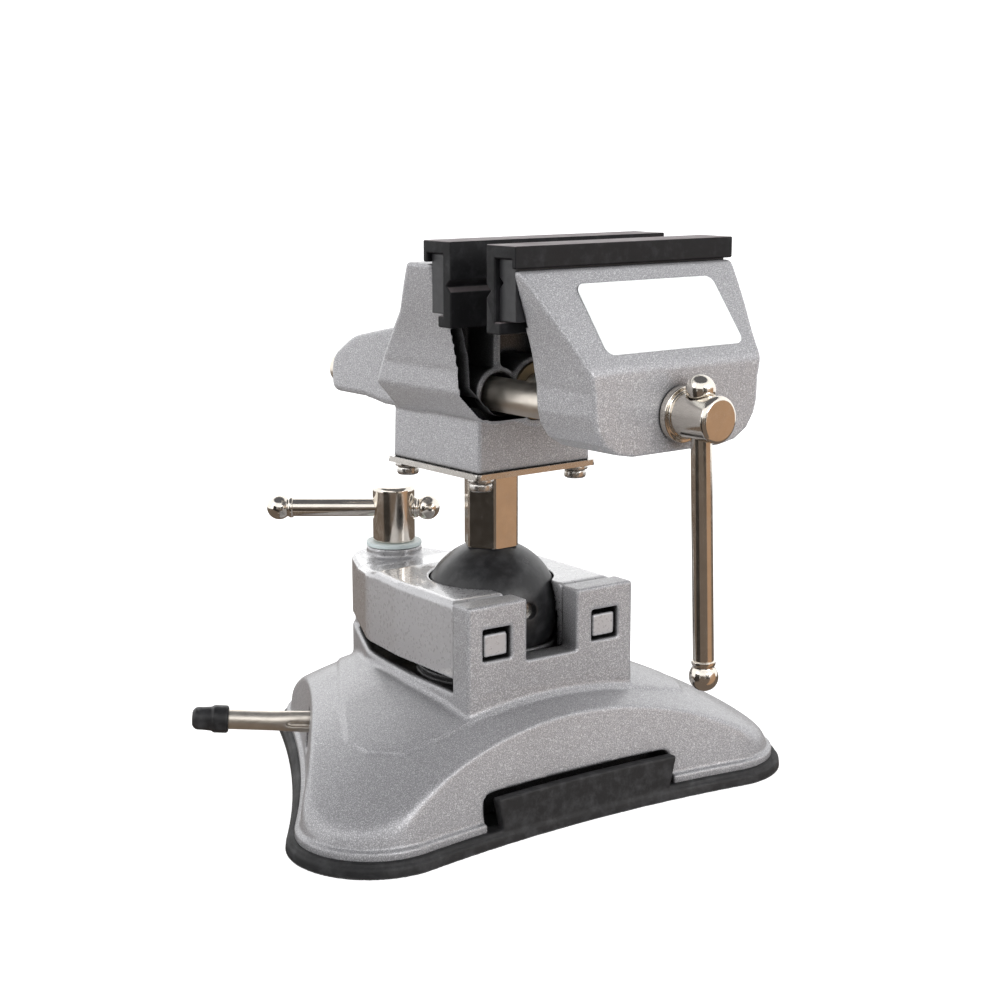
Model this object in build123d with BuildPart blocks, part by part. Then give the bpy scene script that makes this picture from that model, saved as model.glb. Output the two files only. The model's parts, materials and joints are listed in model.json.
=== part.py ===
"""Ball-joint bench vise on a three-lobed suction base, as separate pieces in one frame.

+Z is up, +Y runs from the handle end to the back, and the origin is on the floor under the ball.
The head is drawn square to the frame and then turned by HEAD_TURN about the ball's vertical axis.
"""
import os
from math import cos, radians, sin, sqrt

from build123d import *

# ---- driving dimensions, mm ----
HEAD_TURN = 3.2        # the head's swivel about the ball, degrees
GAP = 0.3              # clearance between curved faces that move past each other
RUN = 0.05             # radial clearance of a running fit

# ball joint and post
BALL_Z = 51.6
BALL_R = 19.6
POST_FLATS = 14.4
PLATE_HALF, PLATE_CORNER = 21.2, 1.2
PLATE_BOTTOM = 93.6
PLATE_TOP = 95.2
BOLT_HALF = 17.0       # half the spacing of the four plate screws
BOLT_R, BOLT_L, BOLT_HEAD_R, BOLT_HEAD_H = 2.0, 10.0, 3.1, 2.5
LOCK_R, LOCK_T = 3.6, 1.2
BALL_FLAT, BALL_BORE, POST_LOW, POST_STUD_R = 70.1, 15.1, 70.4, 4.95
POST_SCREW_R, POST_SCREW_L, POST_HEAD_R, POST_HEAD_H = 2.5, 14.0, 4.6, 2.8
SET_SIDE, SET_LIFT, SET_R, SET_DEPTH, SET_SUNK = -91.0, 7.0, 2.4, 13.0, 2.5

# base casting, pad and tower
LOBE_X, LOBE_Y, LOBE_R = 57.7, -27.7, 23.5
REAR_Y, REAR_R = 57.5, 34.8
FRONT_HOLLOW_R, SIDE_HOLLOW_R = 365.0, 420.0
PAD_RIM = 3.0          # thickness of the rubber pad at its rim
CAST_INSET = 3.4       # how far the casting stands inside the pad's edge
DOME_TOP, DOME_R = 35.0, 150.0
REAR_CROWN_R, REAR_CROWN_Y, REAR_CROWN_Z = 105.0, 12.8, -69.3
CHAMBER_R, CHAMBER_TOP = 27.0, 25.0
TOWER_HALF, TOWER_FRONT, TOWER_BACK, TOWER_TOP = 28.4, -29.5, -21.8, 60.8
NOTCH_HALF, NOTCH_BOTTOM = 8.8, 43.3
WINDOW_IN, WINDOW_OUT, WINDOW_LOW, WINDOW_HIGH = 13.9, 23.5, 45.1, 54.2
PLINTH_TOP = 35.5
SLOT_HALF_W, SLOT_LOW, SLOT_HIGH = 4.4, 9.0, 21.4
TAB_HALF, TAB_SPREAD, TAB_TOP, TAB_GAP_HALF, TAB_GAP_TOP = 28.4, 2.6, 12.8, 34.2, 13.9

SKIRT_SPARE = 3.0      # how far the skirt's blank runs above the dome before the crown trims it
SKIRT_LEAN = 3.9       # inward lean of the skirt's walls over their height
SKIRT_ROOT = 20.0      # height inside the skirt from which the plinth and tower rise
CUP_R, SEAT_R, SEAT_BORE_R, SEAT_BOTTOM, SEAT_TOP = 20.0, 15.8, 9.0, 33.0, 41.0
RIM_WALL, STEP_LOW, STEP_WALL, STEP_HIGH = 8.0, 5.5, 22.0, 11.0
PAD_BEVEL, PAD_HOLE_R = 0.6, 21.0
TAB_SET, TAB_T = 1.0, 2.8    # the tab's set-back from the pad's edge, and its thickness

# lid and its clamp screw
SIDE_END_Y, WAIST_Y, WAIST_R = 12.0, 21.0, 26.0
CLAMP_REST, CLAMP_HOLE_END = 38.7, 12.0
INSERT_R, INSERT_L = 5.6, 16.0
LUG_REACH = 8.0
LID_BOTTOM, LID_TOP, LID_HALF, LID_FRONT = 39.0, 60.8, 27.5, -21.0
LID_FALL_Y, LID_BACK_TOP, LID_MOUTH = 22.0, 57.4, 9.8
LUG_PLAY, LUG_TIP, LUG_Z, LUG_HIGH = 0.9, -28.7, 49.3, 6.4
LID_SPRING_R, LID_SPRING_H, LID_WIRE, LID_TURNS = 5.4, 10.9, 0.6, 4
CLAMP_Y = 52.5
CLAMP_END_R = 13.2
CLAMP_BOSS_R, CLAMP_BOSS_TOP = 8.4, 60.3
WASHER_R, WASHER_T = 8.6, 1.4
CLAMP_HUB_R, CLAMP_HUB_TOP, HUB_CHAMFER = 6.5, 79.0, 1.2
CLAMP_SHANK_R = 4.0
CLAMP_BAR_Z, CLAMP_BAR_R, CLAMP_BALL_R = 72.0, 2.8, 3.8
CLAMP_BAR_ANGLE = 144.5
CLAMP_BAR_NEAR, CLAMP_BAR_FAR = 10.5, 35.6

# suction lever
LEVER_ANGLE = 150.0    # direction of the lever seen from above, degrees
LEVER_PIVOT_R, LEVER_PIVOT_Z = 14.0, 15.4
LEVER_RISE = 3.7       # slope of the lever at rest, degrees
LEVER_CAP_START, LEVER_CAP_END = 76.5, 87.0
LEVER_ROD_R, LEVER_CAP_R, LEVER_CAP_ROUND = 2.7, 3.8, 3.0

ROD_IN = 5.4           # where the rod starts inside the fork's socket
SHAFT_R, LUG_GAP, LUG_T, LUG_R = 2.5, 5.0, 4.0, 5.0
FORK_HUB_R, FORK_HALF, FORK_T, FORK_TAIL, FORK_SOCKET, TOE_R = 4.8, 4.6, 2.2, 4.5, 10.5, 2.0
STUD_R, COLLAR_GAP, COLLAR_T, STUD_COLLAR_R = 2.0, 0.2, 2.0, 5.2
PAD_DISC_R, PAD_DISC_LOW, PAD_DISC_T, PAD_SKIN = 18.0, 4.4, 1.8, 1.6
SPRING_R, SPRING_WIRE, SPRING_TURNS = 4.6, 0.5, 3

# jaws
SCREW_Z = 116.6
ROD_X, ROD_R, ROD_END, ROD_FRONT, ROD_CHAMFER = 13.2, 4.7, 56.5, -70.0, 0.8
JAW_TOP, JAW_SHOULDER, JAW_CREASE, JAW_FLANK = 153.0, 150.2, 129.0, 117.0
JAW_HALF, SHOULDER_HALF, CREASE_HALF, FLANK_HALF, BELLY_HALF = 37.0, 36.0, 29.0, 28.3, 19.0
MOVING_BOTTOM, FIXED_BOTTOM = 107.0, 109.2
MOVING_BACK, MOVING_SHOULDER_Y, MOVING_FRONT = -54.0, -60.0, -76.2
FIXED_FRONT = -20.8
BLOCK_HALF = 20.0
CAP_HALF, CAP_TOP, CAP_UNDER, CAP_LIP = 37.5, 158.8, 155.5, 153.2
CAP_WALL, CAP_FOOT = 3.4, 136.7
JAW_PLATE_LOW, JAW_PLATE_HIGH = 140.0, 155.4
FIXED_GRIP, MOVING_GRIP = -30.7, -45.4
FIXED_CAP_BACK, MOVING_CAP_BACK = -19.0, -57.0
FIXED_SIDE = [(FIXED_FRONT, 109.2), (FIXED_FRONT, 153.0), (-10.3, 153.0), (2.0, 135.0), (15.0, 122.0),
              (18.0, 109.2)]
HOUSING_SIDE = [(10.0, 133.0), (18.0, 132.5), (40.0, 128.0), (49.6, 122.0), (51.0, 119.0), (51.0, 112.4),
                (49.4, 110.8), (33.0, 110.8), (25.0, 109.5), (10.0, 109.5)]
HOUSING_HALF = 20.5
POCKET_WALL, POCKET_TOP, POCKET_DEPTH, FRONT_WALL = 4.0, 138.5, 10.0, 6.2
BOSS_R, NUT_R, NUT_L, NUT_BOSS_R = 7.5, 8.0, 12.0, 10.0
PLATE_SIDE, REBATE = 36.0, 1.3
GROOVE_LOW, GROOVE_HIGH, GROOVE_DEPTH = 148.0, 151.0, 1.5
CAP_GROOVE_Z, CAP_GROOVE = 147.4, 1.6
CAP_HOOK, CAP_TOE, CAP_TOE_T = 1.7, 5.4, 3.0
JAW_BOLT_X, JAW_BOLT_Z, JAW_BOLT_R, JAW_BOLT_L = 30.0, 144.5, 1.7, 9.0
JAW_BOLT_HEAD_R, JAW_BOLT_HEAD_T = 3.0, 2.2
LABEL_W, LABEL_H, LABEL_X, LABEL_S, LABEL_T, LABEL_CORNER = 47.2, 20.8, 1.75, 11.9, 0.3, 2.5

# lead screw and its bar
LEAD_R = 5.0
HUB_R, HUB_START, HUB_END = 6.0, -76.3, -90.9
COLLAR_R, COLLAR_END = 7.2, -78.6
CLIP_R, CLIP_FRONT, CLIP_BACK = 7.5, -69.9, -68.8
LEAD_END = 50.0
BAR_Y, BAR_R, BAR_BALL_R = -84.0, 2.7, 3.8
BAR_UP, BAR_DOWN, BAR_TILT = 7.0, 67.5, 2.45

os.makedirs("parts", exist_ok=True)


def save(part, name, turned=False):
    """Label a finished piece and write it; the head's pieces are turned about the ball first."""
    if turned:
        part = part.rotate(Axis.Z, HEAD_TURN)
    part.label = name
    export_step(part, f"parts/{name}.step")


def unit(angle):
    return Vector(cos(radians(angle)), sin(radians(angle)))


def side_plane(x):
    """A plane across X, with Y to its right and Z up."""
    return Plane(origin=(x, 0, 0), x_dir=(0, 1, 0), z_dir=(1, 0, 0))


def front_plane(y):
    """A plane across Y, with X to its right and Z up; it extrudes towards the front."""
    return Plane(origin=(0, y, 0), x_dir=(1, 0, 0), z_dir=(0, -1, 0))


# ---------------------------------------------------------------- base


def lobed_outline(inset):
    """Closed outline of the three-lobed foot, moved inwards by inset."""
    lobes = [
        (Vector(0, REAR_Y), REAR_R - inset),
        (Vector(-LOBE_X, LOBE_Y), LOBE_R - inset),
        (Vector(LOBE_X, LOBE_Y), LOBE_R - inset),
    ]
    hollows = [SIDE_HOLLOW_R + inset, FRONT_HOLLOW_R + inset, SIDE_HOLLOW_R + inset]
    centres = []
    for i, hollow in enumerate(hollows):
        (a, ra), (b, rb) = lobes[i], lobes[(i + 1) % 3]
        span = b - a
        from_a, from_b = ra + hollow, rb + hollow
        foot = (from_a**2 - from_b**2 + span.length**2) / (2 * span.length)
        out = Vector(span.Y, -span.X).normalized()
        centres.append(a + span.normalized() * foot + out * sqrt(from_a**2 - foot**2))
    with BuildLine() as line:
        for i, (lobe, r) in enumerate(lobes):
            before, after = centres[i - 1], centres[i]
            start = lobe + (before - lobe).normalized() * r
            end = lobe + (after - lobe).normalized() * r
            tip = lobe + lobe.normalized() * r
            ThreePointArc(start, tip, end)
            nxt, rn = lobes[(i + 1) % 3]
            far = nxt + (after - nxt).normalized() * rn
            mid = after + ((end + far) * 0.5 - after).normalized() * hollows[i]
            ThreePointArc(end, mid, far)
    return line.line


def lobed_solid(inset_low, low, inset_high, high):
    """Solid between two lobed outlines at two heights."""
    with BuildPart() as solid:
        for inset, height in ((inset_low, low), (inset_high, high)):
            with BuildSketch(Plane.XY.offset(height)):
                add(lobed_outline(inset))
                make_face()
        loft(ruled=True)
    return solid.part


def crown():
    """The skirt's top: a shallow dome, fuller over the rear lobe."""
    with BuildPart() as top:
        with Locations((0, 0, DOME_TOP - DOME_R)):
            Sphere(DOME_R)
        with Locations((0, REAR_CROWN_Y, REAR_CROWN_Z)):
            Sphere(REAR_CROWN_R)
    return top.part


def plinth_outline(half, front, end_r):
    """Plan of the lid and plinth: square at the tower, narrowing to a round end at the clamp."""
    corners = [(-half, front), (half, front), (half, SIDE_END_Y), (-half, SIDE_END_Y)]
    with BuildSketch() as plan:
        with BuildLine():
            Polyline(*corners, close=True)
        make_face()
        with Locations((0, WAIST_Y)):
            Circle(WAIST_R)
        with Locations((0, CLAMP_Y)):
            Circle(end_r)
        make_hull()
    return plan.sketch


def band(outer_inset, inner_inset, low, high, half_width, spread=0.0):
    """Curved strip that follows the front edge of the foot; its ends lean outwards by spread."""
    with BuildPart() as strip:
        with BuildSketch(Plane.XY.offset(low)):
            add(lobed_outline(outer_inset))
            make_face()
        extrude(amount=high - low)
        add(lobed_solid(inner_inset, low, inner_inset, high), mode=Mode.SUBTRACT)
        with BuildSketch(front_plane(0)):
            Polygon((-half_width, low), (half_width, low), (half_width + spread, high),
                    (-half_width - spread, high), align=None)
        extrude(amount=REAR_Y, mode=Mode.INTERSECT)
    return strip.part


def lever_plane(r, z, rise=0.0):
    """Plane whose normal runs outwards along the lever, at distance r from the middle."""
    out = unit(LEVER_ANGLE)
    across = Vector(-out.Y, out.X)
    normal = Vector(out.X * cos(radians(rise)), out.Y * cos(radians(rise)), sin(radians(rise)))
    return Plane(origin=(out.X * r, out.Y * r, z), x_dir=across, z_dir=normal)


def pivot_plane(offset=0.0, r=LEVER_PIVOT_R):
    """Plane square to the lever's shaft, moved along the shaft by offset, centred at distance r."""
    out = unit(LEVER_ANGLE)
    across = Vector(-out.Y, out.X)
    at = out * r + across * offset
    return Plane(origin=(at.X, at.Y, LEVER_PIVOT_Z), x_dir=-out, z_dir=across)


def base_casting():
    with BuildPart() as base_casting:
        add(lobed_solid(CAST_INSET, PAD_RIM, CAST_INSET + SKIRT_LEAN, DOME_TOP + SKIRT_SPARE))
        add(crown(), mode=Mode.INTERSECT)
        with BuildSketch(Plane.XY.offset(SKIRT_ROOT)):
            add(plinth_outline(TOWER_HALF, TOWER_FRONT, CLAMP_END_R))
        extrude(amount=PLINTH_TOP - SKIRT_ROOT)
        with Locations((0, (TOWER_FRONT + TOWER_BACK) / 2, (SKIRT_ROOT + TOWER_TOP) / 2)):
            Box(2 * TOWER_HALF, TOWER_BACK - TOWER_FRONT, TOWER_TOP - SKIRT_ROOT)
        with Locations((0, 0, (SKIRT_ROOT + NOTCH_BOTTOM) / 2)):
            Cylinder(CUP_R, NOTCH_BOTTOM - SKIRT_ROOT)
        with Locations((0, CLAMP_Y, (SKIRT_ROOT + CLAMP_REST) / 2)):
            Cylinder(CLAMP_END_R, CLAMP_REST - SKIRT_ROOT)
        # the ball's cup, the seat ring's recess, the post's notch and the two lug windows
        with Locations((0, 0, BALL_Z)):
            Sphere(BALL_R + 2 * GAP, mode=Mode.SUBTRACT)
        with Locations((0, 0, (SEAT_BOTTOM + BALL_Z) / 2)):
            Cylinder(SEAT_R, BALL_Z - SEAT_BOTTOM, mode=Mode.SUBTRACT)
        with Locations((0, TOWER_FRONT, (NOTCH_BOTTOM + BALL_Z + BALL_R) / 2)):
            Box(2 * NOTCH_HALF, 2 * LOBE_R, BALL_Z + BALL_R - NOTCH_BOTTOM, mode=Mode.SUBTRACT)
        window_x = (WINDOW_IN + WINDOW_OUT) / 2
        window_y = (TOWER_FRONT + TOWER_BACK) / 2
        with Locations(*[(s * window_x, window_y, (WINDOW_LOW + WINDOW_HIGH) / 2) for s in (-1, 1)]):
            Box(WINDOW_OUT - WINDOW_IN, 2 * LUG_REACH, WINDOW_HIGH - WINDOW_LOW, mode=Mode.SUBTRACT)
        # hollow underside: two shallow steps and the round chamber of the suction mechanism
        add(lobed_solid(RIM_WALL, 0, RIM_WALL, STEP_LOW), mode=Mode.SUBTRACT)
        add(lobed_solid(STEP_WALL, STEP_LOW, STEP_WALL, STEP_HIGH), mode=Mode.SUBTRACT)
        with Locations((0, 0, CHAMBER_TOP / 2)):
            Cylinder(CHAMBER_R, CHAMBER_TOP, mode=Mode.SUBTRACT)
        with BuildSketch(lever_plane(CHAMBER_R / 2, (SLOT_LOW + SLOT_HIGH) / 2)):
            Rectangle(2 * SLOT_HALF_W, SLOT_HIGH - SLOT_LOW)
        extrude(amount=2 * LOBE_R, mode=Mode.SUBTRACT)
        # two lugs hang from the chamber's ceiling and hold the lever's shaft
        for side in (-1, 1):
            with BuildSketch(pivot_plane(side * (LUG_GAP + LUG_T / 2))):
                Circle(LUG_R)
                with Locations((0, (CHAMBER_TOP - LEVER_PIVOT_Z + 1) / 2)):
                    Rectangle(2 * LUG_R, CHAMBER_TOP - LEVER_PIVOT_Z + 1)
                Circle(SHAFT_R, mode=Mode.SUBTRACT)
            extrude(amount=LUG_T / 2, both=True)
        # bore for the threaded insert, with a narrower hole below for the screw's end
        with Locations((0, CLAMP_Y, CLAMP_REST)):
            CounterBoreHole(CLAMP_SHANK_R + 2 * GAP, INSERT_R, INSERT_L, CLAMP_REST - CLAMP_HOLE_END)
        add(band(-CAST_INSET, TAB_T + CAST_INSET, PAD_RIM, TAB_GAP_TOP, TAB_GAP_HALF), mode=Mode.SUBTRACT)
    save(base_casting.part, "base_casting")


def suction_pad():
    with BuildPart() as suction_pad:
        add(lobed_solid(0, 0, PAD_BEVEL, PAD_RIM))
        add(band(TAB_SET, TAB_T + TAB_SET, PAD_RIM / 2, TAB_TOP, TAB_HALF, TAB_SPREAD))
        with Locations((0, 0, PAD_RIM / 2)):
            Cylinder(PAD_HOLE_R, PAD_RIM, mode=Mode.SUBTRACT)
    save(suction_pad.part, "suction_pad")


def ball_seat():
    with BuildPart() as ball_seat:
        with Locations((0, 0, (SEAT_BOTTOM + SEAT_TOP) / 2)):
            Cylinder(SEAT_R, SEAT_TOP - SEAT_BOTTOM)
            Cylinder(SEAT_BORE_R, SEAT_TOP - SEAT_BOTTOM, mode=Mode.SUBTRACT)
        with Locations((0, 0, BALL_Z)):
            Sphere(BALL_R + GAP, mode=Mode.SUBTRACT)
    save(ball_seat.part, "ball_seat")


def suction_lever():
    """Shaft, fork, rod and cap of the lever that raises the middle of the pad."""
    with BuildPart() as lever_shaft:
        with BuildSketch(pivot_plane()):
            Circle(SHAFT_R)
        extrude(amount=LUG_GAP + LUG_T, both=True)
    save(lever_shaft.part, "lever_shaft")

    with BuildPart() as lever_fork:
        with BuildSketch(pivot_plane()):
            Circle(FORK_HUB_R)
        extrude(amount=FORK_HALF, both=True)
        with BuildSketch(lever_plane(-FORK_TAIL, LEVER_PIVOT_Z)):
            Rectangle(2 * FORK_HALF, FORK_T)
        extrude(amount=LEVER_PIVOT_R + FORK_TAIL)
        # rounded toes under the stud's collar, one on each side of the slot
        with BuildSketch(pivot_plane(r=0)):
            Circle(TOE_R)
        extrude(amount=FORK_HALF, both=True)
        with BuildSketch(lever_plane(-FORK_TAIL, LEVER_PIVOT_Z)):
            Rectangle(2 * STUD_R + 4 * GAP, 2 * TOE_R)
        extrude(amount=FORK_TAIL + STUD_R + 2 * GAP, mode=Mode.SUBTRACT)
        with BuildSketch(lever_plane(LEVER_PIVOT_R, LEVER_PIVOT_Z, LEVER_RISE)):
            Circle(FORK_HALF)
        extrude(amount=FORK_SOCKET)
        with BuildSketch(pivot_plane()):
            Circle(SHAFT_R + RUN)
        extrude(amount=FORK_HALF, both=True, mode=Mode.SUBTRACT)
        with BuildSketch(lever_plane(LEVER_PIVOT_R, LEVER_PIVOT_Z, LEVER_RISE).offset(ROD_IN)):
            Circle(LEVER_ROD_R)
        extrude(amount=FORK_SOCKET, mode=Mode.SUBTRACT)
    save(lever_fork.part, "lever_fork")

    with BuildPart() as lever_rod:
        with BuildSketch(lever_plane(LEVER_PIVOT_R, LEVER_PIVOT_Z, LEVER_RISE).offset(ROD_IN)):
            Circle(LEVER_ROD_R)
        extrude(amount=LEVER_CAP_START - LEVER_PIVOT_R - ROD_IN)
    save(lever_rod.part, "lever_rod")

    with BuildPart() as lever_cap:
        cap_start = LEVER_CAP_START - LEVER_PIVOT_R
        with BuildSketch(lever_plane(LEVER_PIVOT_R, LEVER_PIVOT_Z, LEVER_RISE).offset(cap_start)):
            Circle(LEVER_CAP_R)
        extrude(amount=LEVER_CAP_END - LEVER_CAP_START)
        outwards = Axis(lever_plane(0, 0).origin, unit(LEVER_ANGLE))
        fillet(lever_cap.faces().sort_by(outwards)[-1].edges(), LEVER_CAP_ROUND)
    save(lever_cap.part, "lever_cap")


def lifting_stud():
    """Stud, steel disc and rubber middle of the pad, which the fork raises together."""
    collar_low = LEVER_PIVOT_Z + TOE_R + COLLAR_GAP
    with BuildPart() as lift_stud:
        disc_top = PAD_DISC_LOW + PAD_DISC_T
        with Locations((0, 0, (disc_top + collar_low) / 2)):
            Cylinder(STUD_R, collar_low - disc_top)
        with Locations((0, 0, collar_low + COLLAR_T / 2)):
            Cylinder(STUD_COLLAR_R, COLLAR_T)
    save(lift_stud.part, "lift_stud")

    with BuildPart() as pad_disc:
        with Locations((0, 0, PAD_DISC_LOW + PAD_DISC_T / 2)):
            Cylinder(PAD_DISC_R, PAD_DISC_T)
    save(pad_disc.part, "pad_disc")

    with BuildPart() as pad_middle:
        with Locations((0, 0, PAD_DISC_LOW - PAD_SKIN / 2)):
            Cylinder(PAD_HOLE_R - 2 * GAP, PAD_SKIN)
    save(pad_middle.part, "pad_middle")
    spring("stud_spring", collar_low + COLLAR_T, CHAMBER_TOP, (0, 0), SPRING_R, SPRING_WIRE, SPRING_TURNS)


def spring(name, low, high, at, radius, wire, turns):
    """Compression spring standing between two heights."""
    start = low + wire + RUN
    height = high - low - 2 * (wire + RUN)
    with BuildPart() as coil:
        with BuildLine() as path:
            Helix(pitch=height / turns, height=height, radius=radius, center=(at[0], at[1], start))
        with BuildSketch(Plane(origin=path.line @ 0, z_dir=path.line % 0)):
            Circle(wire)
        sweep()
    save(coil.part, name)


# ---------------------------------------------------------------- lid and clamp screw


def clamp_lid():
    with BuildPart() as clamp_lid:
        with BuildSketch(Plane.XY.offset(LID_BOTTOM)):
            add(plinth_outline(LID_HALF, LID_FRONT, CLAMP_END_R))
        extrude(amount=LID_TOP - LID_BOTTOM)
        # the top falls away behind the ball
        with BuildSketch(side_plane(0)):
            with BuildLine():
                rear = CLAMP_Y + CLAMP_END_R + 1
                Polyline((LID_FALL_Y, LID_TOP), (CLAMP_Y - CLAMP_BOSS_R, LID_BACK_TOP), (rear, LID_BACK_TOP),
                         (rear, LID_TOP + 1), (LID_FALL_Y, LID_TOP + 1), close=True)
            make_face()
        extrude(amount=LID_HALF + 1, both=True, mode=Mode.SUBTRACT)
        with Locations((0, CLAMP_Y, (LID_BACK_TOP + CLAMP_BOSS_TOP) / 2)):
            Cylinder(CLAMP_BOSS_R, CLAMP_BOSS_TOP - LID_BACK_TOP)
        # two lugs hook into the tower's windows
        lug = WINDOW_OUT - WINDOW_IN - 2 * LUG_PLAY
        middle = (WINDOW_IN + WINDOW_OUT) / 2
        with Locations(*[(s * middle, (LID_FRONT + LUG_TIP) / 2, LUG_Z) for s in (-1, 1)]):
            Box(lug, LID_FRONT - LUG_TIP, LUG_HIGH)
        # the ball's socket, its straight lower bore and the open front
        with Locations((0, 0, BALL_Z)):
            Sphere(BALL_R + GAP, mode=Mode.SUBTRACT)
        with Locations((0, 0, (LID_BOTTOM + BALL_Z) / 2)):
            Cylinder(CUP_R + 2 * GAP, BALL_Z - LID_BOTTOM, mode=Mode.SUBTRACT)
        with Locations((0, LID_FRONT, (LID_BOTTOM + LID_TOP) / 2)):
            Box(2 * LID_MOUTH, CUP_R, LID_TOP - LID_BOTTOM, mode=Mode.SUBTRACT)
        # clearance for the screw and the spring round it
        with Locations((0, CLAMP_Y, (LID_BOTTOM + LID_TOP) / 2)):
            Cylinder(CLAMP_SHANK_R + 3 * GAP, LID_TOP - LID_BOTTOM, mode=Mode.SUBTRACT)
        with Locations((0, CLAMP_Y, LID_BOTTOM + LID_SPRING_H / 2)):
            Cylinder(LID_SPRING_R + 1, LID_SPRING_H, mode=Mode.SUBTRACT)
    save(clamp_lid.part, "clamp_lid")


def clamp_screw():
    """Insert, screw, washer and sliding bar that press the lid down on the ball."""
    with BuildPart() as clamp_insert:
        with Locations((0, CLAMP_Y, CLAMP_REST - INSERT_L / 2)):
            Cylinder(INSERT_R, INSERT_L)
            Cylinder(CLAMP_SHANK_R + RUN, INSERT_L, mode=Mode.SUBTRACT)
    save(clamp_insert.part, "clamp_insert")
    spring("lid_spring", CLAMP_REST, LID_BOTTOM + LID_SPRING_H, (0, CLAMP_Y), LID_SPRING_R, LID_WIRE,
           LID_TURNS)

    with BuildPart() as clamp_washer:
        with Locations((0, CLAMP_Y, CLAMP_BOSS_TOP + WASHER_T / 2)):
            Cylinder(WASHER_R, WASHER_T)
            Cylinder(CLAMP_SHANK_R + RUN, WASHER_T, mode=Mode.SUBTRACT)
    save(clamp_washer.part, "clamp_washer")

    hub_low = CLAMP_BOSS_TOP + WASHER_T
    bar = Plane(origin=(0, CLAMP_Y, CLAMP_BAR_Z), z_dir=unit(CLAMP_BAR_ANGLE))
    with BuildPart() as clamp_screw:
        with Locations((0, CLAMP_Y, (hub_low + CLAMP_HUB_TOP) / 2)):
            Cylinder(CLAMP_HUB_R, CLAMP_HUB_TOP - hub_low)
        chamfer(clamp_screw.faces().sort_by(Axis.Z)[-1].edges(), HUB_CHAMFER)
        with Locations((0, CLAMP_Y, (CLAMP_HOLE_END + 2 + hub_low) / 2)):
            Cylinder(CLAMP_SHANK_R, hub_low - CLAMP_HOLE_END - 2)
        with BuildSketch(bar):
            Circle(CLAMP_BAR_R + RUN)
        extrude(amount=CLAMP_HUB_R, both=True, mode=Mode.SUBTRACT)
    save(clamp_screw.part, "clamp_screw")
    sliding_bar("clamp_bar", bar, CLAMP_BAR_R, CLAMP_BALL_R, {"near": -CLAMP_BAR_NEAR, "far": CLAMP_BAR_FAR})


def sliding_bar(name, plane, radius, ball, ends, turned=False):
    """Bar with a knob on each end; each end is named with its distance along the plane's normal."""
    with BuildPart() as bar:
        with BuildSketch(plane.offset(min(ends.values()))):
            Circle(radius)
        extrude(amount=max(ends.values()) - min(ends.values()))
        with Locations(*[plane.offset(distance) for distance in ends.values()]):
            Sphere(ball, mode=Mode.SUBTRACT)
    save(bar.part, name, turned)
    for end, distance in ends.items():
        with BuildPart() as knob:
            with Locations(plane.offset(distance)):
                Sphere(ball)
        save(knob.part, f"{name}_knob_{end}", turned)


# ---------------------------------------------------------------- ball, post and fixed jaw


def ball_and_post():
    with BuildPart() as ball:
        with Locations((0, 0, BALL_Z)):
            Sphere(BALL_R)
        with Locations((0, 0, BALL_FLAT + BALL_R / 2)):
            Box(2 * BALL_R, 2 * BALL_R, BALL_R, mode=Mode.SUBTRACT)
        with Locations((0, 0, BALL_FLAT - BALL_BORE / 2)):
            Cylinder(POST_STUD_R + RUN, BALL_BORE, mode=Mode.SUBTRACT)
        with BuildSketch(set_screw_plane()):
            Circle(SET_R)
        extrude(amount=-SET_DEPTH, mode=Mode.SUBTRACT)
    save(ball.part, "ball")

    with BuildPart() as ball_set_screw:
        with BuildSketch(set_screw_plane().offset(-SET_SUNK)):
            Circle(SET_R)
        extrude(amount=SET_SUNK - SET_DEPTH)
        with BuildSketch(set_screw_plane().offset(-SET_SUNK)):
            RegularPolygon(SET_R * 0.55, 6)
        extrude(amount=-SET_R, mode=Mode.SUBTRACT)
    save(ball_set_screw.part, "ball_set_screw")

    with BuildPart() as hex_post:
        with BuildSketch(Plane.XY.offset(POST_LOW)):
            RegularPolygon(POST_FLATS / 2, 6, major_radius=False)
        extrude(amount=PLATE_BOTTOM - POST_LOW)
        with Locations((0, 0, (POST_LOW + BALL_FLAT - BALL_BORE + 1) / 2)):
            Cylinder(POST_STUD_R, POST_LOW - BALL_FLAT + BALL_BORE - 1)
        with Locations((0, 0, PLATE_BOTTOM)):
            Hole(POST_SCREW_R, POST_SCREW_L)
    save(hex_post.part, "hex_post", turned=True)

    with BuildPart() as post_screw:
        with Locations((0, 0, PLATE_TOP - POST_SCREW_L / 2)):
            Cylinder(POST_SCREW_R, POST_SCREW_L)
        with Locations((0, 0, PLATE_TOP + POST_HEAD_H / 2)):
            Cylinder(POST_HEAD_R, POST_HEAD_H)
    save(post_screw.part, "post_screw", turned=True)


def set_screw_plane():
    """Plane on the ball's surface at the set screw, facing outwards."""
    side = radians(SET_SIDE)
    lift = radians(SET_LIFT)
    out = Vector(cos(side) * cos(lift), sin(side) * cos(lift), sin(lift))
    return Plane(origin=Vector(0, 0, BALL_Z) + out * BALL_R, z_dir=out)


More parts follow.
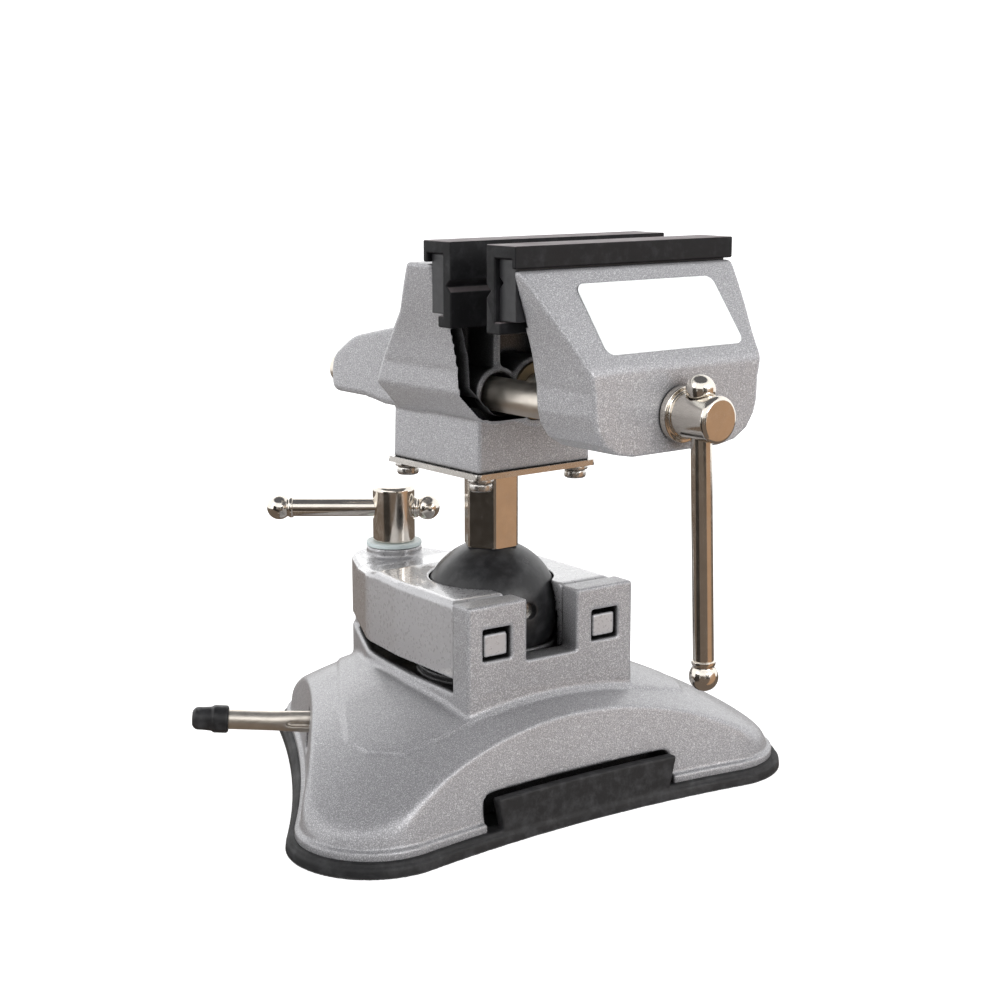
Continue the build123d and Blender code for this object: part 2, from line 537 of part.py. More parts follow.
def head_plate():
    bolts = [(x, y) for x in (-BOLT_HALF, BOLT_HALF) for y in (-BOLT_HALF, BOLT_HALF)]
    with BuildPart() as head_plate:
        with BuildSketch(Plane.XY.offset(PLATE_BOTTOM)):
            RectangleRounded(2 * PLATE_HALF, 2 * PLATE_HALF, PLATE_CORNER)
            Circle(POST_SCREW_R, mode=Mode.SUBTRACT)
            with Locations(*bolts):
                Circle(BOLT_R, mode=Mode.SUBTRACT)
        extrude(amount=PLATE_TOP - PLATE_BOTTOM)
    save(head_plate.part, "head_plate", turned=True)

    with BuildPart() as plate_washers:
        with BuildSketch(Plane.XY.offset(PLATE_BOTTOM - LOCK_T)):
            with Locations(*bolts):
                Circle(LOCK_R)
                Circle(BOLT_R, mode=Mode.SUBTRACT)
        extrude(amount=LOCK_T)
    save(plate_washers.part, "plate_washers", turned=True)

    with BuildPart() as plate_screws:
        with Locations(*[(x, y, PLATE_BOTTOM - LOCK_T - BOLT_HEAD_H / 2) for x, y in bolts]):
            Cylinder(BOLT_HEAD_R, BOLT_HEAD_H)
        with Locations(*[(x, y, PLATE_BOTTOM - LOCK_T + BOLT_L / 2) for x, y in bolts]):
            Cylinder(BOLT_R, BOLT_L)
    save(plate_screws.part, "plate_screws", turned=True)


def jaw_profile(bottom, belly):
    """Front view of a jaw casting: wide at the top, drawn in below the shoulder, round below."""
    right = [(JAW_HALF, JAW_TOP), (SHOULDER_HALF, JAW_SHOULDER), (CREASE_HALF, JAW_CREASE),
             (FLANK_HALF, JAW_FLANK), (FLANK_HALF - 2, JAW_FLANK - 4), (belly, bottom)]
    with BuildSketch() as view:
        with BuildLine():
            Polyline(*right, *[(-x, z) for x, z in reversed(right)], close=True)
        make_face()
    return view.sketch


def jaw_solid(bottom, belly, front, back):
    with BuildPart() as solid:
        with BuildSketch(front_plane(back)):
            add(jaw_profile(bottom, belly))
        extrude(amount=back - front)
    return solid.part


def bores(y, depth, *rows):
    """Round cuts from a plane across Y towards the front, one for each (x, radius)."""
    with BuildPart() as cuts:
        with BuildSketch(front_plane(y)):
            for x, radius in rows:
                with Locations((x, SCREW_Z)):
                    Circle(radius)
        extrude(amount=depth)
    return cuts.part


def side_slab(points, half):
    """Solid with the given (y, z) outline, reaching half to each side of the middle."""
    with BuildPart() as slab:
        with BuildSketch(side_plane(0)):
            with BuildLine():
                Polyline(*points, close=True)
            make_face()
        extrude(amount=half, both=True)
    return slab.part


def jaw_bolt_holes(y, amount):
    """Two round cuts for the screws that hold a jaw plate, from a plane across Y."""
    with BuildPart() as cuts:
        with BuildSketch(front_plane(y)):
            with Locations((-JAW_BOLT_X, JAW_BOLT_Z), (JAW_BOLT_X, JAW_BOLT_Z)):
                Circle(JAW_BOLT_R)
        extrude(amount=amount)
    return cuts.part


def fixed_jaw():
    pocket_back, pocket_low = FIXED_FRONT + POCKET_DEPTH, FIXED_BOTTOM - 1
    pocket = side_slab([(FIXED_FRONT, pocket_low), (FIXED_FRONT, POCKET_TOP), (pocket_back, POCKET_TOP),
                        (pocket_back, pocket_low)], FLANK_HALF - POCKET_WALL)
    with BuildPart() as fixed_jaw:
        add(jaw_solid(FIXED_BOTTOM, BELLY_HALF, FIXED_FRONT, max(y for y, z in FIXED_SIDE)))
        add(side_slab(FIXED_SIDE, JAW_HALF), mode=Mode.INTERSECT)
        add(pocket, mode=Mode.SUBTRACT)
        with BuildSketch(front_plane(FIXED_FRONT + POCKET_DEPTH)):
            with Locations((-ROD_X, SCREW_Z), (ROD_X, SCREW_Z)):
                Circle(BOSS_R)
            with Locations((0, SCREW_Z)):
                Circle(NUT_BOSS_R)
        extrude(amount=POCKET_DEPTH)
        add(side_slab(HOUSING_SIDE, HOUSING_HALF))
        with Locations((0, 0, (PLATE_TOP + FIXED_BOTTOM + 1) / 2)):
            Box(2 * BLOCK_HALF, 2 * BLOCK_HALF, FIXED_BOTTOM + 1 - PLATE_TOP)
        # rods and screw run right through, the nut sits in the front
        back = max(y for y, z in HOUSING_SIDE) + 1
        add(bores(back, back - FIXED_FRONT, (-ROD_X, ROD_R + RUN), (ROD_X, ROD_R + RUN), (0, LEAD_R + GAP)),
            mode=Mode.SUBTRACT)
        add(bores(FIXED_FRONT + NUT_L, NUT_L, (0, NUT_R)), mode=Mode.SUBTRACT)
        add(jaw_bolt_holes(FIXED_FRONT + JAW_BOLT_L, JAW_BOLT_L), mode=Mode.SUBTRACT)
        # underside: four plate screws and the post screw's head
        bolts = [(x, y, PLATE_TOP) for x in (-BOLT_HALF, BOLT_HALF) for y in (-BOLT_HALF, BOLT_HALF)]
        with Locations(*bolts):
            Cylinder(BOLT_R, BOLT_L, align=(Align.CENTER, Align.CENTER, Align.MIN), mode=Mode.SUBTRACT)
        with Locations((0, 0, PLATE_TOP)):
            Cylinder(POST_HEAD_R + GAP, POST_HEAD_H + GAP, align=(Align.CENTER, Align.CENTER, Align.MIN),
                     mode=Mode.SUBTRACT)
    save(fixed_jaw.part, "fixed_jaw", turned=True)

    with BuildPart() as lead_nut:
        with BuildSketch(front_plane(FIXED_FRONT + NUT_L)):
            with Locations((0, SCREW_Z)):
                Circle(NUT_R)
                Circle(LEAD_R + RUN, mode=Mode.SUBTRACT)
        extrude(amount=NUT_L)
    save(lead_nut.part, "lead_nut", turned=True)


def movable_jaw():
    back, front = MOVING_BACK, MOVING_FRONT
    outside = [(back, MOVING_BOTTOM), (back, CAP_FOOT + 2), (back - REBATE, CAP_FOOT + 2),
               (back - REBATE, JAW_TOP), (MOVING_SHOULDER_Y, JAW_SHOULDER), (front, JAW_CREASE),
               (front, MOVING_BOTTOM)]
    inner = front + FRONT_WALL
    inside = [(back, MOVING_BOTTOM - 1), (back, POCKET_TOP), (MOVING_SHOULDER_Y, POCKET_TOP),
              (inner, JAW_CREASE - POCKET_WALL), (inner, MOVING_BOTTOM + POCKET_WALL),
              (back, MOVING_BOTTOM + POCKET_WALL)]
    with BuildPart() as movable_jaw:
        add(jaw_solid(MOVING_BOTTOM, BELLY_HALF, front, back))
        add(side_slab(outside, JAW_HALF), mode=Mode.INTERSECT)
        add(side_slab(inside[1:], FLANK_HALF - POCKET_WALL), mode=Mode.SUBTRACT)
        with BuildSketch(front_plane(back)):
            with Locations((-ROD_X, SCREW_Z), (ROD_X, SCREW_Z)):
                Circle(BOSS_R)
        extrude(amount=back - inner)
        add(bores(back, back - ROD_FRONT, (-ROD_X, ROD_R), (ROD_X, ROD_R)), mode=Mode.SUBTRACT)
        add(bores(back, back - inner, (0, CLIP_R + GAP)), mode=Mode.SUBTRACT)
        add(bores(inner, FRONT_WALL, (0, LEAD_R + RUN)), mode=Mode.SUBTRACT)
        add(jaw_bolt_holes(back, JAW_BOLT_L), mode=Mode.SUBTRACT)
    save(movable_jaw.part, "movable_jaw", turned=True)

    for side, name in ((-1, "guide_rod_left"), (1, "guide_rod_right")):
        with BuildPart() as rod:
            with BuildSketch(front_plane(ROD_END)):
                with Locations((side * ROD_X, SCREW_Z)):
                    Circle(ROD_R)
            extrude(amount=ROD_END - ROD_FRONT)
            chamfer(rod.faces().sort_by(Axis.Y)[-1].edges(), ROD_CHAMFER)
        save(rod.part, name, turned=True)

    slope = Vector(0, front - MOVING_SHOULDER_Y, JAW_CREASE - JAW_SHOULDER).normalized()
    out = Vector(0, slope.Z, -slope.Y)
    centre = Vector(LABEL_X, MOVING_SHOULDER_Y, JAW_SHOULDER) + slope * LABEL_S
    with BuildPart() as jaw_label:
        with BuildSketch(Plane(origin=centre, x_dir=(1, 0, 0), z_dir=out)):
            RectangleRounded(LABEL_W, LABEL_H, LABEL_CORNER)
        extrude(amount=LABEL_T)
    save(jaw_label.part, "jaw_label", turned=True)


def jaw_plate(name, inner, outer):
    """Metal plate that carries a rubber cap; inner is the side against the casting."""
    toward = 1 if inner > outer else -1
    groove = [(outer, GROOVE_LOW), (outer + toward * GROOVE_DEPTH, (GROOVE_LOW + GROOVE_HIGH) / 2),
              (outer, GROOVE_HIGH)]
    outline = [(inner, JAW_PLATE_LOW), (outer, JAW_PLATE_LOW), *groove, (outer, JAW_PLATE_HIGH),
               (inner, JAW_PLATE_HIGH)]
    with BuildPart() as plate:
        add(side_slab(outline, PLATE_SIDE))
        face = max(inner, outer)
        add(jaw_bolt_holes(face, abs(inner - outer)), mode=Mode.SUBTRACT)
        start = outer + toward * JAW_BOLT_HEAD_T
        with BuildSketch(front_plane(max(outer, start))):
            with Locations((-JAW_BOLT_X, JAW_BOLT_Z), (JAW_BOLT_X, JAW_BOLT_Z)):
                Circle(JAW_BOLT_HEAD_R)
        extrude(amount=JAW_BOLT_HEAD_T, mode=Mode.SUBTRACT)
    save(plate.part, name + "_jaw_plate", turned=True)

    with BuildPart() as screws:
        with BuildSketch(front_plane(max(outer, start))):
            with Locations((-JAW_BOLT_X, JAW_BOLT_Z), (JAW_BOLT_X, JAW_BOLT_Z)):
                Circle(JAW_BOLT_HEAD_R)
        extrude(amount=JAW_BOLT_HEAD_T)
        tip = start + toward * JAW_BOLT_L
        with BuildSketch(front_plane(max(start, tip))):
            with Locations((-JAW_BOLT_X, JAW_BOLT_Z), (JAW_BOLT_X, JAW_BOLT_Z)):
                Circle(JAW_BOLT_R)
        extrude(amount=JAW_BOLT_L)
    save(screws.part, name + "_plate_screws", turned=True)


def jaw_cap(name, grip, inner, hook):
    """Soft cap over a jaw plate: grip wall with a groove, flat top, hooked lip and a toe below."""
    toward = 1 if inner > grip else -1
    wall = grip + toward * CAP_WALL
    groove = [(grip, CAP_GROOVE_Z - CAP_GROOVE), (grip + toward * CAP_GROOVE, CAP_GROOVE_Z),
              (grip, CAP_GROOVE_Z + CAP_GROOVE)]
    toe = grip + toward * CAP_TOE
    outline = [(toe, CAP_FOOT), (grip, CAP_FOOT), *groove, (grip, CAP_TOP), (hook, CAP_TOP), (hook, CAP_LIP),
               (hook - toward * CAP_HOOK, CAP_LIP), (hook - toward * CAP_HOOK, CAP_UNDER), (wall, CAP_UNDER),
               (wall, CAP_FOOT + CAP_TOE_T), (toe, CAP_FOOT + CAP_TOE_T)]
    save(side_slab(outline, CAP_HALF), name + "_jaw_cap", turned=True)


def lead_screw():
    """Screw, its collar and clip, and the sliding bar through its hub."""
    with BuildPart() as lead_screw:
        with BuildSketch(front_plane(LEAD_END)):
            with Locations((0, SCREW_Z)):
                Circle(LEAD_R)
        extrude(amount=LEAD_END - HUB_START)
        chamfer(lead_screw.faces().sort_by(Axis.Y)[-1].edges(), ROD_CHAMFER)
    save(lead_screw.part, "lead_screw", turned=True)

    tilt = radians(BAR_TILT)
    bar = Plane(origin=(0, BAR_Y, SCREW_Z), x_dir=(0, 1, 0), z_dir=(-sin(tilt), 0, cos(tilt)))
    with BuildPart() as screw_hub:
        with BuildSketch(front_plane(HUB_START)):
            with Locations((0, SCREW_Z)):
                Circle(COLLAR_R)
        extrude(amount=HUB_START - COLLAR_END)
        with BuildSketch(front_plane(COLLAR_END)):
            with Locations((0, SCREW_Z)):
                Circle(HUB_R)
        extrude(amount=COLLAR_END - HUB_END)
        chamfer(screw_hub.faces().sort_by(Axis.Y)[0].edges(), ROD_CHAMFER)
        with BuildSketch(bar):
            Circle(BAR_R + RUN)
        extrude(amount=HUB_R, both=True, mode=Mode.SUBTRACT)
        with Locations(bar.offset(BAR_UP), bar.offset(-BAR_UP)):
            Sphere(BAR_BALL_R + RUN, mode=Mode.SUBTRACT)
    save(screw_hub.part, "screw_hub", turned=True)

    with BuildPart() as screw_clip:
        with BuildSketch(front_plane(CLIP_BACK)):
            with Locations((0, SCREW_Z)):
                Circle(CLIP_R)
                Circle(LEAD_R, mode=Mode.SUBTRACT)
        extrude(amount=CLIP_BACK - CLIP_FRONT)
    save(screw_clip.part, "screw_clip", turned=True)
    sliding_bar("main_bar", bar, BAR_R, BAR_BALL_R, {"top": BAR_UP, "bottom": -BAR_DOWN}, turned=True)


base_casting()
suction_pad()
ball_seat()
suction_lever()
lifting_stud()
clamp_lid()
clamp_screw()
ball_and_post()
head_plate()
fixed_jaw()
movable_jaw()
jaw_plate("fixed", FIXED_FRONT, FIXED_GRIP + CAP_WALL)
jaw_plate("movable", MOVING_BACK - REBATE, MOVING_GRIP - CAP_WALL)
jaw_cap("fixed", FIXED_GRIP, FIXED_FRONT, FIXED_CAP_BACK)
jaw_cap("movable", MOVING_GRIP, MOVING_BACK, MOVING_CAP_BACK)
lead_screw()
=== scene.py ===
"""Ball-joint bench vise with a suction base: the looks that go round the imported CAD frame.

Cast parts are shaped as signed distance functions in millimetres, meshed on a grid and settled
onto their own surface, so every rounded edge and fillet is real geometry.
"""

import json
import math

import bpy
import numpy as np
from mathutils import Matrix, Vector

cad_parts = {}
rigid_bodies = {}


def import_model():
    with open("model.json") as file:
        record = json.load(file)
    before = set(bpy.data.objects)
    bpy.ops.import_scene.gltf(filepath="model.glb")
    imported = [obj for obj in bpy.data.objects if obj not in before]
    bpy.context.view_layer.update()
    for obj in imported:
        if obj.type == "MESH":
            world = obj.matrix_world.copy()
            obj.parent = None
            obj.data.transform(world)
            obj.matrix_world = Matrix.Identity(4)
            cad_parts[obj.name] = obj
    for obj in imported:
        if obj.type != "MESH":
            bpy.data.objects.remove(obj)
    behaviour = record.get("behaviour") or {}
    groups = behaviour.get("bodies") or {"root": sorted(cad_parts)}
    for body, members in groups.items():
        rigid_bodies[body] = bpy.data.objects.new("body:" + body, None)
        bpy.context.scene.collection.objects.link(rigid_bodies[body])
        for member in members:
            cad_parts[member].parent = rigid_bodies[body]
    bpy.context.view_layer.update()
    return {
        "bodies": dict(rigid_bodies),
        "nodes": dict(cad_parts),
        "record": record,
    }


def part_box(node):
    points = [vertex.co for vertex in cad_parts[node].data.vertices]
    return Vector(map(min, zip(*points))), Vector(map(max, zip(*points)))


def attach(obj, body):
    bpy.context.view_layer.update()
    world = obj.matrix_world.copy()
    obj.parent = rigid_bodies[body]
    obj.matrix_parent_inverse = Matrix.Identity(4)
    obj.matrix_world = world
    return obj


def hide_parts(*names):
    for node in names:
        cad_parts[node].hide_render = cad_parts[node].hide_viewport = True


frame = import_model()

MM = 0.001

# Driving dimensions shared by several pieces, in millimetres and radians.
HEAD_TURN = math.radians(3.2)
BALL_Z = 51.6
CLAMP_Y = 52.5
PAD_TOP = 3.0
SCREW_Z = 116.6
ROD_X, ROD_R = 13.2, 4.7
PLATE_SCREW_XY = 17.0


# ---------------------------------------------------------------- camera, floor and light

# lens and sensor in millimetres, places and sizes in metres, angles in degrees
LENS, SENSOR = 66.0, 36.0
CAMERA_PLACE = (-0.2976, -0.4218, 0.1845)
CAMERA_DOWN, CAMERA_TURN = 11.155, -35.49
TAN, WARM_BLACK = (0.50, 0.32, 0.20), (0.035, 0.030, 0.026)


def set_camera():
    """The photo's viewpoint."""
    data = bpy.data.cameras.new("camera")
    data.lens = LENS
    data.sensor_width = SENSOR
    camera = bpy.data.objects.new("camera", data)
    camera.location = CAMERA_PLACE
    camera.rotation_euler = (math.radians(90 - CAMERA_DOWN), 0, math.radians(CAMERA_TURN))
    bpy.context.collection.objects.link(camera)
    bpy.context.scene.camera = camera


def add_stage():
    """Pale floor that curves up into a backdrop on every side of the view."""
    flat, sweep, height, steps, turns = 1.6, 0.8, 3.0, 12, 64
    rings = []
    for k in range(steps + 1):
        lift = math.radians(90 * k / steps)
        rings.append((flat + sweep * math.sin(lift), sweep * (1 - math.cos(lift))))
    rings.append((flat + sweep, height))
    verts = [(0, 0, 0)]
    for radius, z in rings:
        angles = [2 * math.pi * i / turns for i in range(turns)]
        verts += [(radius * math.cos(angle), radius * math.sin(angle), z) for angle in angles]
    faces = [(0, 1 + i, 1 + (i + 1) % turns) for i in range(turns)]
    for k in range(len(rings) - 1):
        a, b = 1 + k * turns, 1 + (k + 1) * turns
        faces += [(a + i, b + i, b + (i + 1) % turns, a + (i + 1) % turns) for i in range(turns)]
    mesh = bpy.data.meshes.new("backdrop")
    mesh.from_pydata(verts, [], faces)
    mesh.shade_smooth()
    backdrop = bpy.data.objects.new("backdrop", mesh)
    bpy.context.collection.objects.link(backdrop)
    material = bpy.data.materials.new("backdrop")
    material.use_nodes = True
    shader = material.node_tree.nodes["Principled BSDF"]
    shader.inputs["Base Color"].default_value = (0.55, 0.55, 0.55, 1)
    shader.inputs["Roughness"].default_value = 0.9
    shader.inputs["Specular IOR Level"].default_value = 0.1
    shader.inputs["Emission Color"].default_value = (1, 1, 1, 1)
    shader.inputs["Emission Strength"].default_value = 0.80
    mesh.materials.append(material)


def add_card(name, corners, colour):
    """Studio card that only shows in reflections."""
    mesh = bpy.data.meshes.new(name)
    mesh.from_pydata(corners, [], [tuple(range(len(corners)))])
    material = bpy.data.materials.new(name)
    material.use_nodes = True
    shader = material.node_tree.nodes["Principled BSDF"]
    shader.inputs["Base Color"].default_value = (0, 0, 0, 1)
    shader.inputs["Specular IOR Level"].default_value = 0.0
    shader.inputs["Emission Color"].default_value = (*colour, 1)
    shader.inputs["Emission Strength"].default_value = 1.0
    mesh.materials.append(material)
    card = bpy.data.objects.new(name, mesh)
    card.visible_camera = card.visible_diffuse = card.visible_shadow = False
    bpy.context.collection.objects.link(card)


def standing(name, first, last, high, colour):
    """Upright card between two points just above the floor."""
    add_card(name, [(*first, 0.001), (*last, 0.001), (*last, high), (*first, high)], colour)


def area_light(name, place, target, size, power):
    data = bpy.data.lights.new(name, "AREA")
    data.shape = "RECTANGLE"
    data.size, data.size_y = size
    data.energy = power
    light = bpy.data.objects.new(name, data)
    light.location = place
    light.rotation_euler = (Vector(target) - Vector(place)).to_track_quat("-Z", "Y").to_euler()
    bpy.context.collection.objects.link(light)


def add_lights():
    middle = (0, 0, 0.09)
    area_light("left", (-1.1, 0.1, 0.45), middle, (0.5, 0.9), 1.5)
    area_light("front", (0.15, -1.1, 0.42), middle, (0.7, 0.5), 5.5)
    area_light("back", (0.2, 1.0, 0.5), middle, (0.8, 0.4), 0.8)
    standing("card_left", (-0.36, 0.06), (-0.40, -0.22), 0.20, (0.030, 0.026, 0.022))
    standing("card_front_left", (-0.40, -0.24), (-0.20, -0.52), 0.18, (0.16, 0.135, 0.115))
    standing("card_front", (-0.19, -0.53), (0.08, -0.53), 0.26, (0.045, 0.038, 0.032))
    standing("card_right", (0.09, -0.52), (0.42, -0.26), 0.18, TAN)
    # one wide card on the floor, and two that lie just above it at the sides
    radius, low, lower = 0.62, 0.0009, 0.0006
    angles = [k * math.pi / 16 for k in range(32)]
    around = [(radius * math.cos(angle), radius * math.sin(angle) - 0.1, lower) for angle in angles]
    add_card("card_floor", around, (0.17, 0.135, 0.11))
    left = [(-0.06, -0.02, low), (-0.36, 0.06, low), (-0.40, -0.22, low), (-0.08, -0.10, low)]
    add_card("card_floor_left", left, WARM_BLACK)
    add_card("card_floor_right", [(0.0, -0.12, low), (0.09, -0.52, low), (0.42, -0.26, low)], TAN)
    world = bpy.data.worlds.new("studio")
    world.use_nodes = True
    back = world.node_tree.nodes["Background"]
    back.inputs["Color"].default_value = (0.9, 0.92, 1.0, 1)
    back.inputs["Strength"].default_value = 0.16
    bpy.context.scene.world = world
    bpy.context.scene.view_settings.view_transform = "Standard"


# ---------------------------------------------------------------- materials


class Shader:
    """A Principled material with short ways to add texture nodes."""

    def __init__(self, name, colour, roughness=0.5, metallic=0.0, **sockets):
        self.material = bpy.data.materials.new(name)
        self.material.use_nodes = True
        self.tree = self.material.node_tree
        self.bsdf = self.tree.nodes["Principled BSDF"]
        self.bsdf.inputs["Base Color"].default_value = (*colour, 1)
        self.bsdf.inputs["Roughness"].default_value = roughness
        self.bsdf.inputs["Metallic"].default_value = metallic
        for socket, value in sockets.items():
            self.bsdf.inputs[socket.replace("_", " ")].default_value = value
        self.where = self.tree.nodes.new("ShaderNodeTexCoord").outputs["Object"]

    def link(self, a, b):
        self.tree.links.new(a, b)

    def noise(self, scale, detail=2.0, roughness=0.5, stretch=None):
        node = self.tree.nodes.new("ShaderNodeTexNoise")
        node.inputs["Scale"].default_value = scale
        node.inputs["Detail"].default_value = detail
        node.inputs["Roughness"].default_value = roughness
        source = self.where
        if stretch:
            mapping = self.tree.nodes.new("ShaderNodeMapping")
            mapping.inputs["Scale"].default_value = stretch
            self.link(source, mapping.inputs["Vector"])
            source = mapping.outputs["Vector"]
        self.link(source, node.inputs["Vector"])
        return node.outputs["Fac"]

    def ramp(self, source, *stops):
        node = self.tree.nodes.new("ShaderNodeValToRGB")
        band = node.color_ramp
        while len(band.elements) < len(stops):
            band.elements.new(0.5)
        for element, (at, value) in zip(band.elements, stops):
            element.position = at
            element.color = (*value, 1) if isinstance(value, tuple) else (value, value, value, 1)
        self.link(source, node.inputs["Fac"])
        return node.outputs["Color"]

    def mix(self, fac, a, b, blend="MIX"):
        node = self.tree.nodes.new("ShaderNodeMix")
        node.data_type = "RGBA"
        node.blend_type = blend
        for socket, value in (("Factor", fac), ("A", a), ("B", b)):
            spot = [s for s in node.inputs if s.name == socket and s.enabled][0]
            if isinstance(value, (int, float)):
                spot.default_value = value
            elif isinstance(value, tuple):
                spot.default_value = (*value, 1)
            else:
                self.link(value, spot)
        return [s for s in node.outputs if s.enabled][0]

    def colour(self, source):
        self.link(source, self.bsdf.inputs["Base Color"])

    def rough(self, source):
        self.link(source, self.bsdf.inputs["Roughness"])

    def bump(self, source, height):
        node = self.tree.nodes.new("ShaderNodeBump")
        node.inputs["Distance"].default_value = height
        node.inputs["Strength"].default_value = 1.0
        self.link(source, node.inputs["Height"])
        previous = self.bsdf.inputs["Normal"].links
        if previous:
            self.link(previous[0].from_socket, node.inputs["Normal"])
        self.link(node.outputs["Normal"], self.bsdf.inputs["Normal"])


def metallic_paint(name, body, flake, roughness, coat, peel, dark):
    """Silver paint with flakes, a faint orange peel, slow changes of tone and painted shade in its recesses.
    """
    s = Shader(name, body, roughness, 0.35, Coat_Weight=coat, Coat_Roughness=0.24 - 0.18 * coat)
    grain = s.ramp(s.noise(3400, 3, 0.7), (0.36, tuple(dark * c for c in body)), (0.52, body), (0.70, flake))
    tone = s.ramp(s.noise(14, 2), (0.3, 0.93), (0.7, 1.04))
    # painted shade: ambient occlusion darkens the paint's colour in recesses, windows and gaps
    recess_shade = s.tree.nodes.new("ShaderNodeAmbientOcclusion")
    recess_shade.samples = 6
    recess_shade.inputs["Distance"].default_value = 0.020
    shade = s.ramp(recess_shade.outputs["AO"], (0.25, 0.04), (0.68, 1.0))
    s.colour(s.mix(1.0, s.mix(1.0, grain, tone, "MULTIPLY"), shade, "MULTIPLY"))
    s.rough(s.ramp(s.noise(900, 2), (0.3, roughness - 0.07), (0.7, roughness + 0.10)))
    s.bump(s.noise(700, 2), peel)
    s.bump(s.noise(110, 2), peel * 2.5)
    return s.material


def nickel(name, colour, roughness, wear):
    """Bright plating with a faint grain and dull patches."""
    s = Shader(name, colour, roughness, 1.0)
    patch = s.noise(160, 4, 0.6)
    s.colour(s.ramp(patch, (0.35, tuple(0.92 * c for c in colour)), (0.65, colour)))
    s.rough(s.ramp(s.noise(420, 3, 0.6), (0.35, roughness), (0.75, roughness + wear)))
    s.bump(s.noise(1200, 2), 0.000005)
    return s.material


def rubber(name, colour, roughness, grain):
    """Dark rubber or moulding with a little dust."""
    s = Shader(name, colour, roughness, 0.0, Specular_IOR_Level=0.4)
    pale_tone = s.ramp(s.noise(260, 4, 0.65), (0.45, colour), (0.8, tuple(2.2 * c + 0.012 for c in colour)))
    s.colour(pale_tone)
    s.rough(s.ramp(s.noise(90, 3), (0.3, roughness - 0.08), (0.7, roughness + 0.1)))
    s.bump(s.noise(1400, 3, 0.6), grain)
    return s.material


def pale_topped(name, colour, pale_tone, roughness):
    """Black rubber whose upward faces are coloured a paler brown-grey, picked out by the face's normal."""
    s = Shader(name, colour, roughness, 0.0, Specular_IOR_Level=0.22)
    # upward faces, found from the normal, take the paler brown-grey; the sides stay near black
    facing = s.tree.nodes.new("ShaderNodeSeparateXYZ")
    s.link(s.tree.nodes["Texture Coordinate"].outputs["Normal"], facing.inputs["Vector"])
    top = s.ramp(facing.outputs["Z"], (0.55, 0.0), (0.92, 1.0))
    top_tone = s.ramp(s.noise(210, 5, 0.7), (0.25, tuple(0.62 * c for c in pale_tone)), (0.75, pale_tone))
    streaks = s.ramp(s.noise(60, 3, 0.6, (0.15, 1, 1)), (0.35, 0.72), (0.65, 1.0))
    sides = s.ramp(s.noise(300, 4, 0.7), (0.5, colour), (0.9, tuple(2.6 * c + 0.01 for c in colour)))
    s.colour(s.mix(top, sides, s.mix(1.0, top_tone, streaks, "MULTIPLY")))
    s.rough(s.ramp(s.noise(90, 3), (0.3, roughness - 0.08), (0.7, roughness + 0.12)))
    s.bump(s.noise(1500, 3, 0.6), 0.00002)
    return s.material


def plastic(name, colour, roughness):
    """Plain moulding, its tone and gloss slightly uneven."""
    s = Shader(name, colour, roughness)
    s.colour(s.ramp(s.noise(180, 3), (0.3, tuple(0.92 * c for c in colour)), (0.7, colour)))
    s.rough(s.ramp(s.noise(600, 2), (0.3, roughness - 0.05), (0.7, roughness + 0.08)))
    s.bump(s.noise(1100, 2), 0.000015)
    return s.material


def make_materials():
    """One material for each slot of the record."""
    silver, silver_flake = (0.295, 0.292, 0.303), (0.66, 0.66, 0.68)
    gloss, gloss_flake = (0.39, 0.388, 0.40), (0.43, 0.43, 0.445)
    return {
        "casting_paint": metallic_paint("silver_paint", silver, silver_flake, 0.38, 0.25, 0.00003, 0.76),
        "lid_paint": metallic_paint("silver_gloss_paint", gloss, gloss_flake, 0.30, 1.0, 0.000002, 1.0),
        "pad_rubber": rubber("pad_rubber", (0.010, 0.010, 0.011), 0.60, 0.00003),
        "cap_rubber": pale_topped("cap_rubber", (0.005, 0.005, 0.006), (0.29, 0.25, 0.255), 0.50),
        "plate_plastic": plastic("plate_plastic", (0.014, 0.014, 0.016), 0.40),
        "bright_steel": nickel("nickel_plate", (0.78, 0.73, 0.66), 0.10, 0.12),
        "zinc_steel": nickel("zinc_plate", (0.68, 0.66, 0.63), 0.20, 0.12),
        "rod_steel": nickel("ground_steel", (0.82, 0.76, 0.68), 0.34, 0.12),
        "washer_plastic": plastic("washer_plastic", (0.55, 0.62, 0.62), 0.35),
        "ball_coat": rubber("ball_coat", (0.012, 0.012, 0.013), 0.32, 0.000006),
        # brass made dull and dark: painted shade for the lead nut, which sits in the jaw's shadowed hollow
        "brass": nickel("brass", (0.34, 0.27, 0.17), 0.35, 0.2),
        "label": plastic("label_film", (0.86, 0.88, 0.88), 0.30),
        "seat_plastic": plastic("seat_plastic", (0.62, 0.61, 0.57), 0.5),
        "black_plastic": rubber("black_plastic", (0.010, 0.010, 0.011), 0.42, 0.00002),
    }


materials = make_materials()


# bevel widths in metres
EDGE = 0.00015
EDGES = {"fixed_jaw_cap": 0.00045, "movable_jaw_cap": 0.00045, "fixed_jaw_plate": 0.0002,
         "movable_jaw_plate": 0.0002, "head_plate": 0.00025, "jaw_label": 0.00008}


def soften(piece, width):
    """Rounds a piece's sharp edges a little."""
    bevel = piece.modifiers.new("edges", "BEVEL")
    bevel.width = width
    bevel.segments = 2
    bevel.limit_method = "ANGLE"
    bevel.angle_limit = math.radians(32)
    bevel.harden_normals = True


def paint_cad_nodes():
    """Every CAD node starts with the material its slot names, and with soft edges."""
    for row in frame["record"]["subparts"]:
        node = frame["nodes"][row["node"]]
        for spot in node.material_slots:
            spot.material = materials[row["material_slot"]]
        weld = node.modifiers.new("weld", "WELD")
        weld.merge_threshold = 0.000005
        soften(node, EDGES.get(row["node"], EDGE))


def body_of(node):
    """Name of the body that carries a CAD node."""
    return next(name for name, empty in frame["bodies"].items() if frame["nodes"][node].parent is empty)


# ---------------------------------------------------------------- meshing of distance functions


